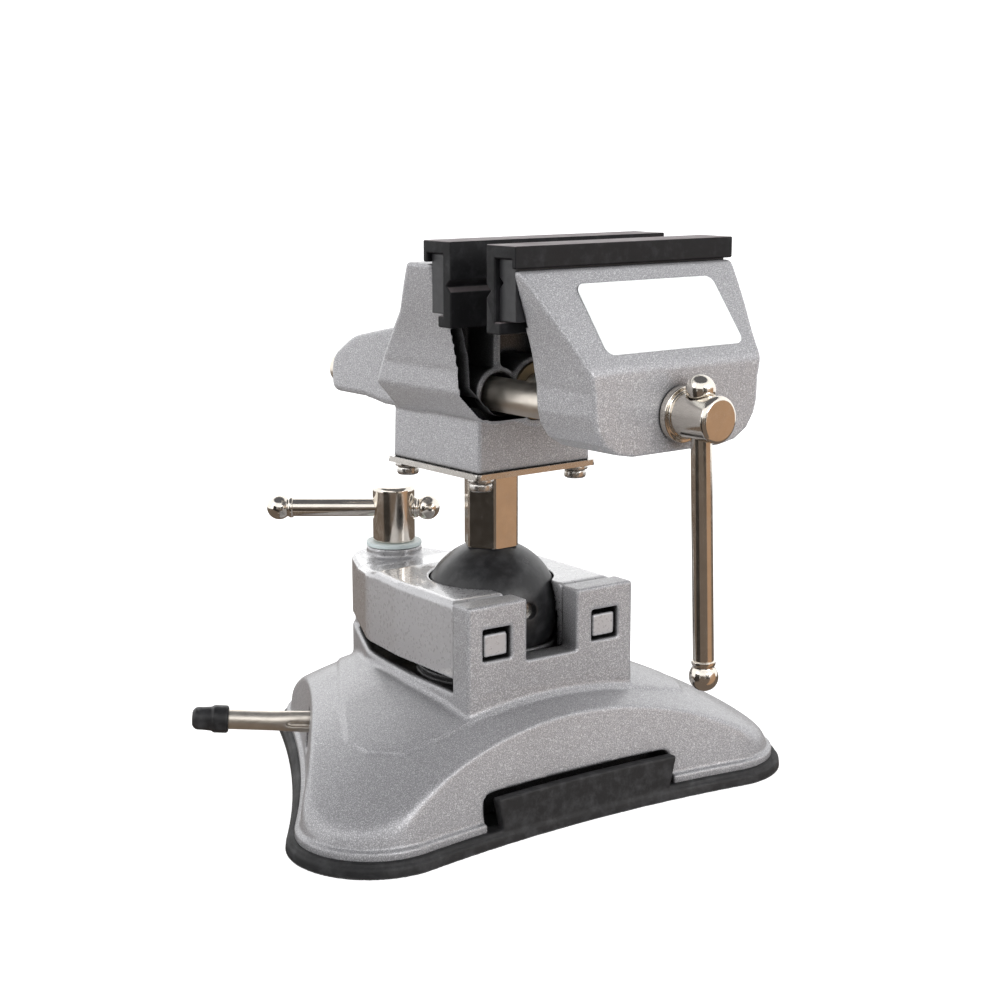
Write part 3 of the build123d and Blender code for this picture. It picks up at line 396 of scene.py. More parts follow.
def surface_nets(distance, low, high, step):
    """Vertices and quads of the surface where distance is zero, all in millimetres."""
    axes = [np.arange(low[i] - 2 * step, high[i] + 3 * step, step) for i in range(3)]
    value = distance(*np.meshgrid(*axes, indexing="ij"))
    inside = value < 0
    shape = np.array(value.shape) - 1
    total = np.zeros((*shape, 3))
    count = np.zeros(tuple(shape))
    corner = [np.array(c) for c in np.ndindex(2, 2, 2)]

    def at(array, c):
        return array[c[0]:c[0] + shape[0], c[1]:c[1] + shape[1], c[2]:c[2] + shape[2]]

    for a in corner:
        for axis in range(3):
            if a[axis]:
                continue
            b = a.copy()
            b[axis] = 1
            va, vb = at(value, a), at(value, b)
            crosses = at(inside, a) != at(inside, b)
            part = np.where(crosses, va / np.where(crosses, va - vb, 1), 0)
            for k in range(3):
                total[..., k] += np.where(crosses, a[k] + (part if k == axis else 0), 0)
            count += crosses
    active = count > 0
    number = np.full(tuple(shape), -1)
    number[active] = np.arange(active.sum())
    where = np.argwhere(active)
    points = total[active] / count[active][:, None] + where
    points = points * step + np.array([a[0] for a in axes])
    quads = []
    for axis in range(3):
        u, v = [k for k in range(3) if k != axis]
        start = [slice(None)] * 3
        end = [slice(None)] * 3
        start[axis], end[axis] = slice(0, -1), slice(1, None)
        flips = np.argwhere(inside[tuple(start)] != inside[tuple(end)])
        enclosed = (flips[:, u] > 0) & (flips[:, v] > 0) & (flips[:, u] < shape[u]) & (flips[:, v] < shape[v])
        flips = flips[enclosed]
        starts_inside = inside[flips[:, 0], flips[:, 1], flips[:, 2]]
        ring = []
        for du, dv in ((1, 1), (0, 1), (0, 0), (1, 0)):
            cell = flips.copy()
            cell[:, u] -= du
            cell[:, v] -= dv
            ring.append(number[cell[:, 0], cell[:, 1], cell[:, 2]])
        ring = np.stack(ring, axis=1)
        flip = starts_inside if axis != 1 else ~starts_inside
        ring[~flip] = ring[~flip][:, ::-1]
        quads.append(ring)
    return points, np.concatenate(quads)


def settle(points, distance, step, rounds=4):
    """Moves points onto the zero surface along the distance's gradient."""
    probe = step * 0.05
    for _ in range(rounds):
        x, y, z = points.T
        here = distance(x, y, z)
        slope = np.stack([
            distance(x + probe, y, z) - distance(x - probe, y, z),
            distance(x, y + probe, z) - distance(x, y - probe, z),
            distance(x, y, z + probe) - distance(x, y, z - probe)], axis=1) / (2 * probe)
        size = np.maximum((slope**2).sum(axis=1), 0.05)
        move = np.clip(here / size, -0.6 * step, 0.6 * step)
        points = points - slope * move[:, None]
    return points


def cast_piece(name, distance, low, high, step, body, material, nodes, turned=False):
    """Meshes a distance function as a piece that stands for CAD nodes."""
    points, quads = surface_nets(distance, low, high, step)
    points = settle(points, distance, step)
    mesh = bpy.data.meshes.new(name)
    mesh.from_pydata((points * MM).tolist(), [], quads.tolist())
    mesh.validate()
    mesh.shade_smooth()
    if turned:
        mesh.transform(Matrix.Rotation(HEAD_TURN, 4, "Z"))
    piece = bpy.data.objects.new(name, mesh)
    bpy.context.collection.objects.link(piece)
    mesh.materials.append(materials[material])
    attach(piece, body)
    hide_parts(*nodes)


def join(a, b, k=0.0):
    """Union of two distances with a fillet of about k, which may vary from place to place."""
    if np.ndim(k) == 0 and not k:
        return np.minimum(a, b)
    h = np.clip(0.5 + 0.5 * (b - a) / k, 0, 1)
    return b + (a - b) * h - k * h * (1 - h)


def meet(a, b, k=0.0):
    """Intersection of two distances with an edge rounded by about k."""
    return -join(-a, -b, k)


def cut(a, b, k=0.0):
    """a without b, with the cut's edge rounded by about k."""
    return -join(-a, b, k)


def box(x, y, z, low, high, r=0.0):
    """Distance to a box between two corners, its edges rounded by r."""
    q = [np.abs(p - (a + b) / 2) - (b - a) / 2 + r for p, a, b in zip((x, y, z), low, high)]
    outside = np.sqrt(sum(np.maximum(v, 0) ** 2 for v in q))
    return outside + np.minimum(np.maximum(np.maximum(q[0], q[1]), q[2]), 0) - r


def rod(u, v, along, radius, start, end, edge=0.0):
    """Distance to a round bar: u and v across it, and along its length."""
    side = np.sqrt(u * u + v * v) - radius
    return meet(side, np.maximum(start - along, along - end), edge)


def bevel(side, end, width):
    """Distance to a 45 degree bevel between a side wall and an end face."""
    return (side + end + width) / math.sqrt(2)


def hull(x, y, corners, k=0.0):
    """Distance to a convex outline given anticlockwise by its corners, which are rounded by about k."""
    far = None
    for (ax, ay), (bx, by) in zip(corners, corners[1:] + corners[:1]):
        length = math.hypot(bx - ax, by - ay)
        edge = ((x - ax) * (by - ay) - (y - ay) * (bx - ax)) / length
        far = edge if far is None else meet(far, edge, k)
    return far


def mirrored(corners):
    """Closed anticlockwise outline from its right half, listed from the bottom up."""
    return corners + [(-u, v) for u, v in reversed(corners)]


# ---------------------------------------------------------------- turned pieces


def eased(profile, r, steps=3):
    """The same profile with each inner corner rounded by about r."""
    made = [profile[0]]
    for before, here, after in zip(profile, profile[1:], profile[2:]):
        a, b, c = Vector(before), Vector(here), Vector(after)
        p = b + (a - b).normalized() * min(r, (a - b).length * 0.45)
        q = b + (c - b).normalized() * min(r, (c - b).length * 0.45)
        made += [tuple(p.lerp(b, k / steps).lerp(b.lerp(q, k / steps), k / steps)) for k in range(steps + 1)]
    return made + [profile[-1]]


def globe(at, radius, start, end, steps=18):
    """Profile of a sphere about the distance at, between two angles in degrees from its near pole."""
    angles = [math.radians(start + (end - start) * k / steps) for k in range(steps + 1)]
    return [(at - radius * math.cos(t), max(radius * math.sin(t), 0.0)) for t in angles]


# in millimetres
THREAD_DEPTH = 0.55


def lathe(name, profile, foot, towards, material, node, turned=False, flats=0.0, pitch=0.0, turns=72):
    """Turned piece; its profile lists the distance along the axis and the radius, in millimetres.

    flats trims it to a hexagon of that size across, and pitch cuts a helical thread into its widest part.
    """
    axis = Vector(towards).normalized()
    u = Vector((1, 0, 0)) if abs(axis.z) > 0.99 else axis.cross(Vector((0, 0, 1))).normalized()
    v = axis.cross(u)
    widest = max(r for _, r in profile)
    verts, rings = [], []
    for s, r in profile:
        ring = []
        for k in range(turns if r > 1e-6 else 1):
            angle = 2 * math.pi * k / turns
            reach = r
            if flats:
                reach = min(r, flats / 2 / math.cos(angle % (math.pi / 3) - math.pi / 6))
            if pitch and r > 0.9 * widest:
                reach -= THREAD_DEPTH * abs(2 * ((s / pitch + k / turns) % 1) - 1)
            ring.append(len(verts))
            verts.append((Vector(foot) + axis * s + (u * math.cos(angle) + v * math.sin(angle)) * reach) * MM)
        rings.append(ring)
    faces = []
    for a, b in zip(rings, rings[1:]):
        for k in range(turns):
            n = (k + 1) % turns
            if len(a) == 1:
                faces.append((a[0], b[n], b[k]))
            elif len(b) == 1:
                faces.append((a[k], a[n], b[0]))
            else:
                faces.append((a[k], a[n], b[n], b[k]))
    mesh = bpy.data.meshes.new(name)
    mesh.from_pydata(verts, [], faces)
    mesh.validate()
    mesh.shade_smooth()
    mesh.set_sharp_from_angle(angle=math.radians(34))
    if turned:
        mesh.transform(Matrix.Rotation(HEAD_TURN, 4, "Z"))
    piece = bpy.data.objects.new(name, mesh)
    bpy.context.collection.objects.link(piece)
    piece.modifiers.new("normals", "WEIGHTED_NORMAL").keep_sharp = True
    mesh.materials.append(materials[material])
    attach(piece, body_of(node))
    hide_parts(node)


def knob_bar(name, foot, towards, radius, ball, ends, turned=False):
    """Sliding bar with a necked ball on each end, as three pieces."""
    (low_name, low), (high_name, high) = ends
    axis = Vector(towards).normalized()
    start, end = low + 0.55 * ball, high - 0.55 * ball
    bar = eased([(start, 0), (start, radius), (end, radius), (end, 0)], 0.2)
    lathe(name + "_skin", bar, foot, towards, "bright_steel", name, turned)
    collar = [(ball * 0.72, ball * 0.70), (ball * 0.80, radius + 0.2), (ball * 0.90, radius + 0.42),
              (ball * 1.12, radius + 0.42), (ball * 1.16, radius + 0.1), (ball * 1.16, 0)]
    knob = globe(0, ball, 0, 132) + eased(collar, 0.25)[1:]
    for side, at, way in ((low_name, low, 1), (high_name, high, -1)):
        lathe(f"{name}_{side}_skin", knob, Vector(foot) + axis * at, Vector(towards) * way,
              "bright_steel", f"{name}_knob_{side}", turned)


# ---------------------------------------------------------------- base casting

LOBES = [((0, 57.5), 34.8), ((-57.7, -27.7), 23.5), ((57.7, -27.7), 23.5)]
HOLLOWS = [420.0, 365.0, 420.0]
TOWER_X, TOWER_FRONT, TOWER_BACK, TOWER_TOP = 28.4, -29.5, -21.8, 60.8
LEVER_SIDE, LEVER_RISE = math.radians(150), math.radians(3.7)
LEVER_START, LEVER_Z = 14.0, 15.4


def hollow_centres():
    """Centre of each long hollow arc between two lobes."""
    centres = []
    for i, hollow in enumerate(HOLLOWS):
        (a, ra), (b, rb) = LOBES[i], LOBES[(i + 1) % 3]
        a, b = Vector(a), Vector(b)
        span = b - a
        foot = ((ra + hollow) ** 2 - (rb + hollow) ** 2 + span.length_squared) / (2 * span.length)
        out = Vector((span.y, -span.x)).normalized()
        centres.append(a + span.normalized() * foot + out * math.sqrt((ra + hollow) ** 2 - foot**2))
    return centres


def foot_outline(x, y):
    """Distance to the three-lobed outline of the pad, negative inside."""
    centres = hollow_centres()
    deep = -1e3
    far = np.full_like(x, deep)
    beyond = []
    for i, centre in enumerate(centres):
        a, b = Vector(LOBES[i][0]) - centre, Vector(LOBES[(i + 1) % 3][0]) - centre
        turn = math.copysign(1, a.x * b.y - a.y * b.x)
        px, py = x - centre.x, y - centre.y
        side_a = (a.x * py - a.y * px) * turn
        side_b = (px * b.y - py * b.x) * turn
        between = (side_a >= 0) & (side_b >= 0)
        far = np.where(between, np.maximum(far, HOLLOWS[i] - np.hypot(px, py)), far)
        beyond.append((side_a < 0, side_b < 0))
    for j, (middle, radius) in enumerate(LOBES):
        sector = beyond[j][0] & beyond[j - 1][1]
        lobe = np.hypot(x - middle[0], y - middle[1]) - radius
        far = np.where(sector, np.maximum(far, lobe), far)
    return far


def lever_axes(x, y):
    """Distances along and across the lever, seen from above."""
    along = x * math.cos(LEVER_SIDE) + y * math.sin(LEVER_SIDE)
    across = -x * math.sin(LEVER_SIDE) + y * math.cos(LEVER_SIDE)
    return along, across


def skirt_top(x, y, z):
    """Shallow dome, fuller over the rear lobe."""
    dome = np.sqrt(x * x + y * y + (z + 115.0) ** 2) - 150.0
    rear = np.sqrt(x * x + (y - 12.8) ** 2 + (z + 69.3) ** 2) - 105.0
    return join(dome, rear, 3.0)


def rounded_top(u, v, half, top, r):
    """Distance to an upright slab of half-width half that ends at top, with two rounded corners."""
    p, q = np.abs(u) - half + r, v - top + r
    return np.hypot(np.maximum(p, 0), np.maximum(q, 0)) + np.minimum(np.maximum(p, q), 0) - r


def arc(middle, radius, start, end, steps=20):
    """Points of an arc about a centre on the y axis, between two angles in radians."""
    angles = [start + (end - start) * k / steps for k in range(steps + 1)]
    return [(radius * math.cos(angle), middle + radius * math.sin(angle)) for angle in angles]


def lid_plan(half, front):
    """Plan shared by the lid and the plinth below it, anticlockwise: square front, round rear end."""
    shoulder_y, flank_y, flank_r, end_r = 12.0, 21.0, 26.0, 13.2
    corners = [(-half, shoulder_y), (-half, front), (half, front), (half, shoulder_y)]
    right = arc(flank_y, flank_r, 0.10, 0.36) + arc(CLAMP_Y, end_r, 0.40, math.pi / 2)
    return corners + right + [(-px, py) for px, py in reversed(right[:-1])]


# right half of the raised flat ground round the tower's foot
GROUND = [(38.0, -30.8), (49.0, -28.6), (55.0, -20.0), (56.0, -10.0), (53.3, -2.7), (48.2, 6.1), (41.3, 17.8),
          (30.0, 40.0), (17.0, 62.0)]


def skirt_distance(x, y, z, edge):
    """Skirt with its rim's small flange and the raised flat ground."""
    inset, draft = 3.6, 0.115
    wall = edge + inset + draft * np.maximum(z - PAD_TOP, 0)
    # its upper edge is crisp along the front and softer round the lobes
    soft = np.clip((np.hypot(x, y) - 58) / 20, 0, 1)
    skirt = meet(wall, skirt_top(x, y, z), 0.8 + 2.6 * soft)
    skirt = join(skirt, meet(edge + 2.6, z - 6.3, 0.5), 0.7)
    ground = hull(x, y, mirrored(GROUND))
    rise, ramp = 0.7, 0.16
    return skirt - rise / (1 + np.exp(np.clip(ground / ramp, -30, 30)))


def base_distance(x, y, z):
    """Skirt, plinth, clamp post, ball cup and tower, less their recesses."""
    edge = foot_outline(x, y)
    plan = hull(x, y, lid_plan(TOWER_X, TOWER_FRONT))
    plinth = meet(plan, z - 35.5, 1.2)
    solid = join(skirt_distance(x, y, z, edge), plinth, 1.6)
    solid = join(solid, rod(x, y - CLAMP_Y, z, 12.4, 10, 38.7, 1.0), 0.8)
    solid = join(solid, rod(x, y, z, 20.0, 10, 43.3, 0.6))
    tower = box(x, y, z, (-TOWER_X, TOWER_FRONT, 12), (TOWER_X, TOWER_BACK, TOWER_TOP), 0.6)
    solid = join(solid, tower, 0.35)
    # the ball's room, the notch for the post and the windows for the lid's lugs
    ball = np.sqrt(x * x + y * y + (z - BALL_Z) ** 2)
    solid = cut(solid, ball - 20.2, 0.4)
    solid = cut(solid, box(x, y, z, (-8.8, -60, 43.3), (8.8, 0, 80), 0.5), 0.5)
    for side in (-1, 1):
        solid = cut(solid, box(side * x, y, z, (13.9, -40, 45.1), (23.5, -10, 54.2), 0.3), 0.45)
    # the groove under the lid and the pull tab's gap
    inner = meet(plan + 2.2, 33.2 - z)
    solid = cut(solid, meet(meet(inner, TOWER_BACK - 0.2 - y), 21.5 - np.hypot(x, y)), 0.5)
    gap = meet(-edge - 15.0, rounded_top(x + 0.9, z, 32.6, 13.7, 3.0))
    solid = cut(solid, meet(gap, y + 10), 0.4)
    # the lever's slot, the mechanism's chamber and the clamp screw's bore
    u, v = lever_axes(x, y)
    solid = cut(solid, box(u, v, z, (12, -4.4, 9), (120, 4.4, 21.4), 1.0), 0.6)
    solid = cut(solid, rod(x, y, z, 27.0, -5, 25.0))
    solid = cut(solid, rod(x, y - CLAMP_Y, z, 4.6, 12, 45))
    return np.maximum(solid, PAD_TOP + 0.05 - z)


def add_base():
    low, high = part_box("base_casting")
    cast_piece("base_skin", base_distance, [c / MM for c in low], [c / MM for c in high], 0.7,
               "base", "casting_paint", ["base_casting"])


def pad_distance(x, y, z):
    """Flat foot with a lip outside the skirt and a pull tab that bears a small ring."""
    edge = foot_outline(x, y)
    rim = meet(edge + 0.12 * np.maximum(z, 0), np.abs(z - 1.5) - 1.5, 0.7)
    lip = meet(meet(edge + 1.2, -edge - 6.0), np.abs(z - 2.6) - 1.5, 0.5)
    pad = join(rim, lip, 0.8)
    tab = meet(meet(edge + 0.9, -edge - 3.9, 0.4), rounded_top(x, z, 28.0 + 0.23 * z, 12.9, 0.6), 0.5)
    pad = join(pad, meet(meet(tab, 1.5 - z), y + 10), 0.5)
    mark = np.hypot(x - 0.6, z - 3.6)
    pad = join(pad, meet(np.abs(mark - 0.9) - 0.22, np.abs(edge + 0.9) - 0.35, 0.1), 0.1)
    return np.maximum(cut(pad, rod(x, y, z, 21.0, -5, 9)), -z)


def add_pad():
    low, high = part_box("suction_pad")
    cast_piece("pad_skin", pad_distance, [c / MM for c in low], [c / MM for c in high], 0.6,
               "base", "pad_rubber", ["suction_pad"])


# ---------------------------------------------------------------- lid


def lid_distance(x, y, z):
    """Lid that falls towards its rear end, with lugs in the tower's windows and a slot for the post."""
    plan = hull(x, y, lid_plan(27.5, -21.0))
    fall = 3.4 * np.clip((y - 22.0) / 22.0, 0, 1)
    solid = meet(plan, z - (60.8 - fall), 2.2)
    solid = join(solid, rod(x, y - CLAMP_Y, z, 8.6, 50, 60.3, 0.6), 1.2)
    solid = meet(solid, 39.0 - z, 0.5)
    for side in (-1, 1):
        solid = join(solid, box(side * x, y, z, (14.9, -28.7, 46.1), (22.6, -15, 52.5), 0.5), 0.3)
    ball = np.sqrt(x * x + y * y + (z - BALL_Z) ** 2)
    solid = cut(solid, ball - 19.9, 1.0)
    solid = cut(solid, rod(x, y, z, 20.6, 30, BALL_Z))
    solid = cut(solid, box(x, y, z, (-9.8, -40, 30), (9.8, -5, 80), 0.5), 1.2)
    solid = cut(solid, rod(x, y - CLAMP_Y, z, 4.9, 30, 70))
    return cut(solid, rod(x, y - CLAMP_Y, z, 6.4, 30, 49.9))


def add_lid():
    low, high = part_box("clamp_lid")
    cast_piece("lid_skin", lid_distance, [c / MM for c in low], [c / MM for c in high], 0.6,
               "lid", "lid_paint", ["clamp_lid"])


# ---------------------------------------------------------------- jaws

FIXED_FACE, MOVING_BACK, MOVING_FACE = -20.8, -54.0, -76.2


def jaw_front(x, z, bottom):
    """Distance to a jaw's outline seen from the front: flared shoulder above a rounded belly."""
    flare = hull(x, z, mirrored([(28.0, 126.0), (36.4, 150.2), (37.0, 153.0)]), 1.2)
    belly = [(15.0, bottom), (20.5, bottom + 1.0), (24.8, bottom + 3.6), (27.4, bottom + 7.4), (28.3, 117.5),
             (29.0, 129.0), (29.0, 135.0)]
    return join(flare, hull(x, z, mirrored(belly)), 2.5)


UPPER_SIDE = [(FIXED_FACE, 105), (14.5, 105), (14.5, 116.7), (-10.3, 153), (FIXED_FACE, 153)]
LOWER_SIDE = [(FIXED_FACE, 105), (19, 105), (18, 109.2), (15, 122), (2, 135), (FIXED_FACE, 135)]
HOUSING_SIDE = [(5, 110.8), (49.4, 110.8), (51, 112.4), (51, 119), (49.6, 122), (40, 128), (18, 132.5),
                (5, 133)]
HOUSING_FOOT = [(5, 109.5), (25, 109.5), (33, 110.8), (33, 118), (5, 118)]
BLOCK_BOTTOM, BLOCK_TOP, BLOCK_HALF = 95.2, 110.6, 20.0


def fixed_jaw_distance(x, y, z):
    """Jaw with its open pocket, the housing behind it and the block it stands on."""
    front = jaw_front(x, z, 109.2)
    solid = meet(front, join(hull(y, z, UPPER_SIDE), hull(y, z, LOWER_SIDE, 3.0), 6.0), 1.4)
    pocket = meet(meet(front + 4.0, np.maximum(z - 138.5, 112.4 - z)), y - (FIXED_FACE + 13), 1.0)
    solid = cut(solid, pocket, 0.6)
    # the bosses of the rods, each with a rib above it, and the screw's boss
    up = z - SCREW_Z
    for side in (-1, 1):
        boss = rod(side * x - ROD_X, up, y, 7.5, FIXED_FACE + 0.8, 0, 0.6)
        rib = box(side * x, y, z, (12.1, FIXED_FACE + 1.2, 121), (14.3, -5, 140), 0.4)
        solid = join(solid, join(boss, rib, 1.2), 1.2)
    solid = join(solid, rod(x, up, y, 9.6, FIXED_FACE + 0.5, 0, 0.6), 1.2)
    housing = join(hull(y, z, HOUSING_SIDE, 1.2), hull(y, z, HOUSING_FOOT), 1.0)
    solid = join(solid, meet(housing, np.abs(x) - 20.5, 2.0), 1.2)
    draft = 0.02 * (z - BLOCK_BOTTOM)
    walls = meet(np.abs(x) - BLOCK_HALF + draft, np.abs(y) - BLOCK_HALF + draft, 1.2)
    solid = join(solid, meet(walls, z - BLOCK_TOP, 1.0), 0.4)
    solid = np.maximum(solid, BLOCK_BOTTOM - z)
    # the bores, wider at the mouth for the rods and the lead nut
    for side in (-1, 1):
        solid = cut(solid, rod(side * x - ROD_X, up, y, 4.85, -30, 60), 0.2)
        solid = cut(solid, rod(side * x - ROD_X, up, y, 5.9, -30, FIXED_FACE + 4), 0.4)
    solid = cut(solid, rod(x, up, y, 5.15, -30, 60), 0.05)
    return cut(solid, rod(x, up, y, 8.05, -30, FIXED_FACE + 12), 0.3)


def movable_jaw_distance(x, y, z):
    """Jaw with a sloping front, hollow behind."""
    front = jaw_front(x, z, 107.0)
    outline = [(MOVING_FACE, 100), (MOVING_BACK, 100), (MOVING_BACK, 153), (-57.6, 153), (-60.2, 150.0),
               (MOVING_FACE, 129)]
    solid = meet(front, hull(y, z, outline, 1.0), 1.1)
    up = z - SCREW_Z
    inner = hull(y, z, [(-70, 111), (-50, 111), (-50, 138.5), (-60, 138.5), (-70, 125)])
    solid = cut(solid, meet(front + 4.0, inner, 1.5), 0.8)
    for hand in (-1, 1):
        solid = join(solid, rod(hand * x - ROD_X, up, y, 7.5, -72, MOVING_BACK - 0.5, 0.6), 1.5)
    solid = cut(solid, box(x, y, z, (-60, -55.3, 138.7), (60, -40, 170)), 0.4)
    for hand in (-1, 1):
        solid = cut(solid, rod(hand * x - ROD_X, up, y, 4.75, -70, -40), 0.3)
    solid = cut(solid, rod(x, up, y, 7.8, -70, -40), 0.3)
    return cut(solid, rod(x, up, y, 5.1, -90, -40), 0.4)


def head_limits(node):
    """Lowest and highest corner of a head node in millimetres, before the head was turned."""
    back = Matrix.Rotation(-HEAD_TURN, 4, "Z")
    corners = np.array([back @ v.co for v in frame["nodes"][node].data.vertices]) / MM
    return corners.min(axis=0), corners.max(axis=0)


def add_jaws():
    for node, distance in (("fixed_jaw", fixed_jaw_distance), ("movable_jaw", movable_jaw_distance)):
        low, high = head_limits(node)
        cast_piece(node + "_skin", distance, low, high, 0.6, body_of(node), "casting_paint", [node], True)


# ---------------------------------------------------------------- small parts

CLAMP_BAR_SIDE, CLAMP_BAR_Z, CLAMP_BAR_R = math.radians(144.5), 72.0, 2.8
MAIN_BAR_TILT, MAIN_BAR_Y, MAIN_BAR_R = math.radians(2.45), -84.0, 2.7
KNOB_R = 3.8
CLAMP_HUB_R, CLAMP_HUB_TOP = 6.5, 79.0
SCREW_HUB_R, SCREW_HUB_END = 6.0, -90.9
ON_HEAD = ("screw_hub", "plate_screws", "plate_washers")


def clamp_hub_distance(x, y, z):
    """Head of the clamp screw with the bar's countersunk hole, and the shank below it."""
    y = y - CLAMP_Y
    hub = rod(x, y, z, CLAMP_HUB_R, 61.75, CLAMP_HUB_TOP)
    hub = meet(hub, bevel(np.hypot(x, y) - CLAMP_HUB_R, z - CLAMP_HUB_TOP, 0.8), 0.3)
    across = -x * math.sin(CLAMP_BAR_SIDE) + y * math.cos(CLAMP_BAR_SIDE)
    along = np.abs(x * math.cos(CLAMP_BAR_SIDE) + y * math.sin(CLAMP_BAR_SIDE))
    bar = np.hypot(across, z - CLAMP_BAR_Z)
    hub = cut(hub, bar - 2.95, 0.35)
    hub = cut(hub, meet(bar - 3.4, 5.85 - along), 0.15)
    return join(hub, rod(x, y, z, 4.0, 46, 63))


def screw_hub_distance(x, y, z):
    """Hub on the lead screw with a collar behind, and a bar hole dished for the knobs."""
    up = z - SCREW_Z
    radius = np.hypot(x, up)
    hub = meet(radius - SCREW_HUB_R, np.abs(y + 83.7) - 7.2)
    hub = meet(hub, bevel(radius - SCREW_HUB_R, SCREW_HUB_END - y, 0.8), 0.3)
    hub = join(hub, meet(radius - 7.2, np.abs(y + 77.55) - 1.05, 0.35), 0.4)
    across = x * math.cos(MAIN_BAR_TILT) + up * math.sin(MAIN_BAR_TILT)
    along = -x * math.sin(MAIN_BAR_TILT) + up * math.cos(MAIN_BAR_TILT)
    bar = np.hypot(across, y - MAIN_BAR_Y)
    hub = cut(hub, bar - 2.85, 0.3)
    hub = cut(hub, meet(bar - 3.4, 2.4 - np.abs(along)), 0.15)
    for way in (-1, 1):
        hub = cut(hub, np.sqrt(across**2 + (y - MAIN_BAR_Y) ** 2 + (along - 7.0 * way) ** 2) - 3.9, 0.3)
    return hub


def plate_screw_distance(x, y, z):
    """Four socket screws under the head's plate."""
    u, v = np.abs(x) - PLATE_SCREW_XY, np.abs(y) - PLATE_SCREW_XY
    radius = np.hypot(u, v)
    head = meet(radius - 3.1, np.abs(z - 91.15) - 1.25, 0.9)
    half, corner = 1.5, 0.866
    hexagon = [(half, -corner), (half, corner), (0, 2 * corner), (-half, corner), (-half, -corner),
               (0, -2 * corner)]
    socket = np.maximum(hull(u, v, hexagon), z - 91.4)
    return join(cut(head, socket, 0.15), meet(radius - 2.0, np.abs(z - 95.8) - 4.0, 0.3))


def lock_washer_distance(x, y, z):
    """Four washers, each with a slanting split."""
    u, v = np.abs(x) - PLATE_SCREW_XY, np.abs(y) - PLATE_SCREW_XY
    radius, up = np.hypot(u, v), z - 93.0
    ring = meet(meet(radius - 3.6, 2.1 - radius, 0.2), np.abs(up) - 0.55, 0.25)
    return cut(ring, meet(np.abs(u + 0.8 * up) - 0.32, v), 0.1)


def lever_rod_distance(x, y, z):
    """Round bar that rises away from the base."""
    u, v = lever_axes(x, y)
    u = u - LEVER_START
    along = u * math.cos(LEVER_RISE) + (z - LEVER_Z) * math.sin(LEVER_RISE)
    up = (z - LEVER_Z) * math.cos(LEVER_RISE) - u * math.sin(LEVER_RISE)
    # flattened and slotted where it meets the fork
    near = np.clip((50.0 - along) / 12.0, 0, 1)
    bar = meet(np.hypot(v * (1 + 0.28 * near), up * (1 - 0.12 * near)) - 2.85,
               np.maximum(5.5 - along, along - 62.9), 0.3)
    slot = meet(np.hypot(up + 0.3, np.maximum(along - 44.0, 0) * 0.4) - 0.75, 1.1 - np.abs(v))
    return cut(bar, slot, 0.3)


def add_modelled_parts():
    """Small parts shaped by a distance function, each between its two corners; some turn with the head."""
    rows = (
        ("clamp_hub", clamp_hub_distance, (-7, 45, 46), (7, 60, 79), 0.28, "bright_steel", "clamp_screw"),
        ("screw_hub_skin", screw_hub_distance, (-7.5, -91, 109), (7.5, -76, 124), 0.28, "bright_steel",
         "screw_hub"),
        ("plate_bolts", plate_screw_distance, (-20.5, -20.5, 89.8), (20.5, 20.5, 100), 0.26, "zinc_steel",
         "plate_screws"),
        ("lock_washers", lock_washer_distance, (-20.8, -20.8, 92.3), (20.8, 20.8, 93.7), 0.22, "zinc_steel",
         "plate_washers"),
        ("lever_rod_skin", lever_rod_distance, (-70, 6, 12), (-12, 42, 24), 0.45, "rod_steel", "lever_rod"),
    )
    for name, distance, low, high, step, slot, node in rows:
        turned = node in ON_HEAD
        cast_piece(name, distance, low, high, step, body_of(node), slot, [node], turned)


def add_clamp_parts():
    """Washer ring and the clamp's bar."""
    ring = eased([(0, 4.2), (0, 8.6), (1.4, 8.6), (1.4, 4.2)], 0.35) + [(0, 4.2)]
    lathe("washer_ring", ring, (0, CLAMP_Y, 60.3), (0, 0, 1), "washer_plastic", "clamp_washer")
    knob_bar("clamp_bar", (0, CLAMP_Y, CLAMP_BAR_Z), (math.cos(CLAMP_BAR_SIDE), math.sin(CLAMP_BAR_SIDE), 0),
             CLAMP_BAR_R, KNOB_R, (("near", -10.5), ("far", 35.6)))


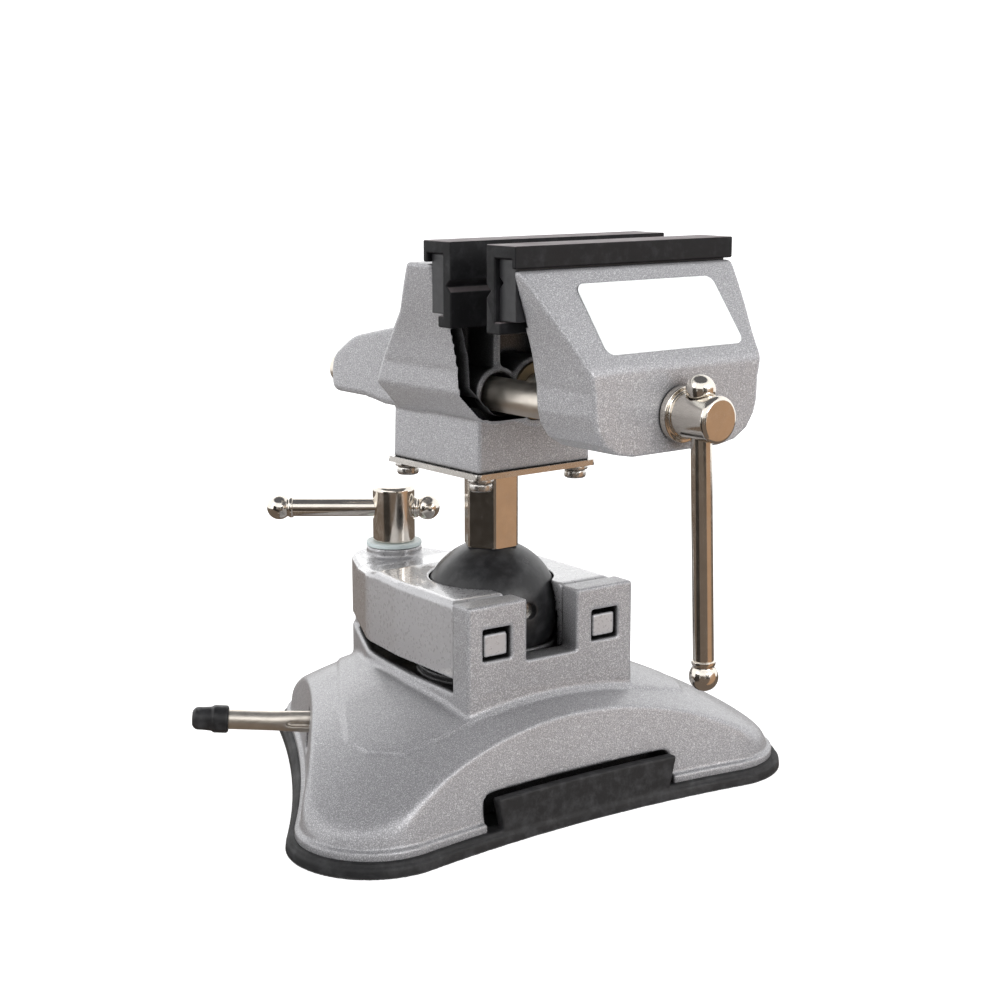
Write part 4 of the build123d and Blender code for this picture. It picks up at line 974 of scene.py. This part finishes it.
def add_head_parts():
    """Handle's bar, hexagonal post, guide rods and lead screw."""
    knob_bar("main_bar", (0, MAIN_BAR_Y, SCREW_Z), (-math.sin(MAIN_BAR_TILT), 0, math.cos(MAIN_BAR_TILT)),
             MAIN_BAR_R, KNOB_R, (("bottom", -67.5), ("top", 7.0)), turned=True)
    post_r, post_length = 8.14, 23.6
    lathe("hex_post_skin", eased([(0, 0), (0, post_r), (post_length, post_r), (post_length, 0)], 0.2),
          (0, 0, 70.0), (0, 0, 1), "bright_steel", "hex_post", True, flats=14.4, turns=144)
    rod_profile = eased([(0, 0), (0, 3.9), (0.8, ROD_R), (125.5, ROD_R), (126.5, 3.7), (126.5, 0)], 0.3)
    for side, hand in (("left", -1), ("right", 1)):
        lathe(f"guide_rod_{side}_skin", rod_profile, (hand * ROD_X, -70.0, SCREW_Z), (0, 1, 0),
              "rod_steel", f"guide_rod_{side}", True)
    # the thread needs a ring every quarter of a millimetre, from the shank to the far end
    screw_r, shank = 5.0, 7.0
    thread = [(0.25 * k, screw_r) for k in range(29, 501)]
    screw = [(0, 0), (0, screw_r), (shank, screw_r)] + thread + [(126.0, 4.2), (126.3, 0)]
    lathe("lead_screw_skin", screw, (0, -76.3, SCREW_Z), (0, 1, 0), "rod_steel", "lead_screw", True,
          pitch=2.0, turns=40)


def add_lever_grip():
    """Black cap on the lever's end, with a bead and a rounded tip."""
    level = math.cos(LEVER_RISE)
    out = Vector((math.cos(LEVER_SIDE) * level, math.sin(LEVER_SIDE) * level, math.sin(LEVER_RISE)))
    pivot = Vector((math.cos(LEVER_SIDE) * LEVER_START, math.sin(LEVER_SIDE) * LEVER_START, LEVER_Z))
    sleeve = eased([(0, 0), (0, 3.5), (0.5, 4.0), (4.2, 4.0), (4.9, 3.5), (7.6, 3.3), (8.6, 3.3)], 0.4)
    angles = [math.radians(15 * k) for k in range(6)]
    tip = [(8.6 + 1.9 * math.sin(t), 1.4 + 1.9 * math.cos(t)) for t in angles]
    lathe("lever_grip", sleeve + tip + [(10.5, 1.0), (10.5, 0)], pivot + out * 62.5, out,
          "black_plastic", "lever_cap")


set_camera()
add_stage()
add_lights()
paint_cad_nodes()
add_base()
add_pad()
add_lid()
add_jaws()
add_modelled_parts()
add_clamp_parts()
add_head_parts()
add_lever_grip()
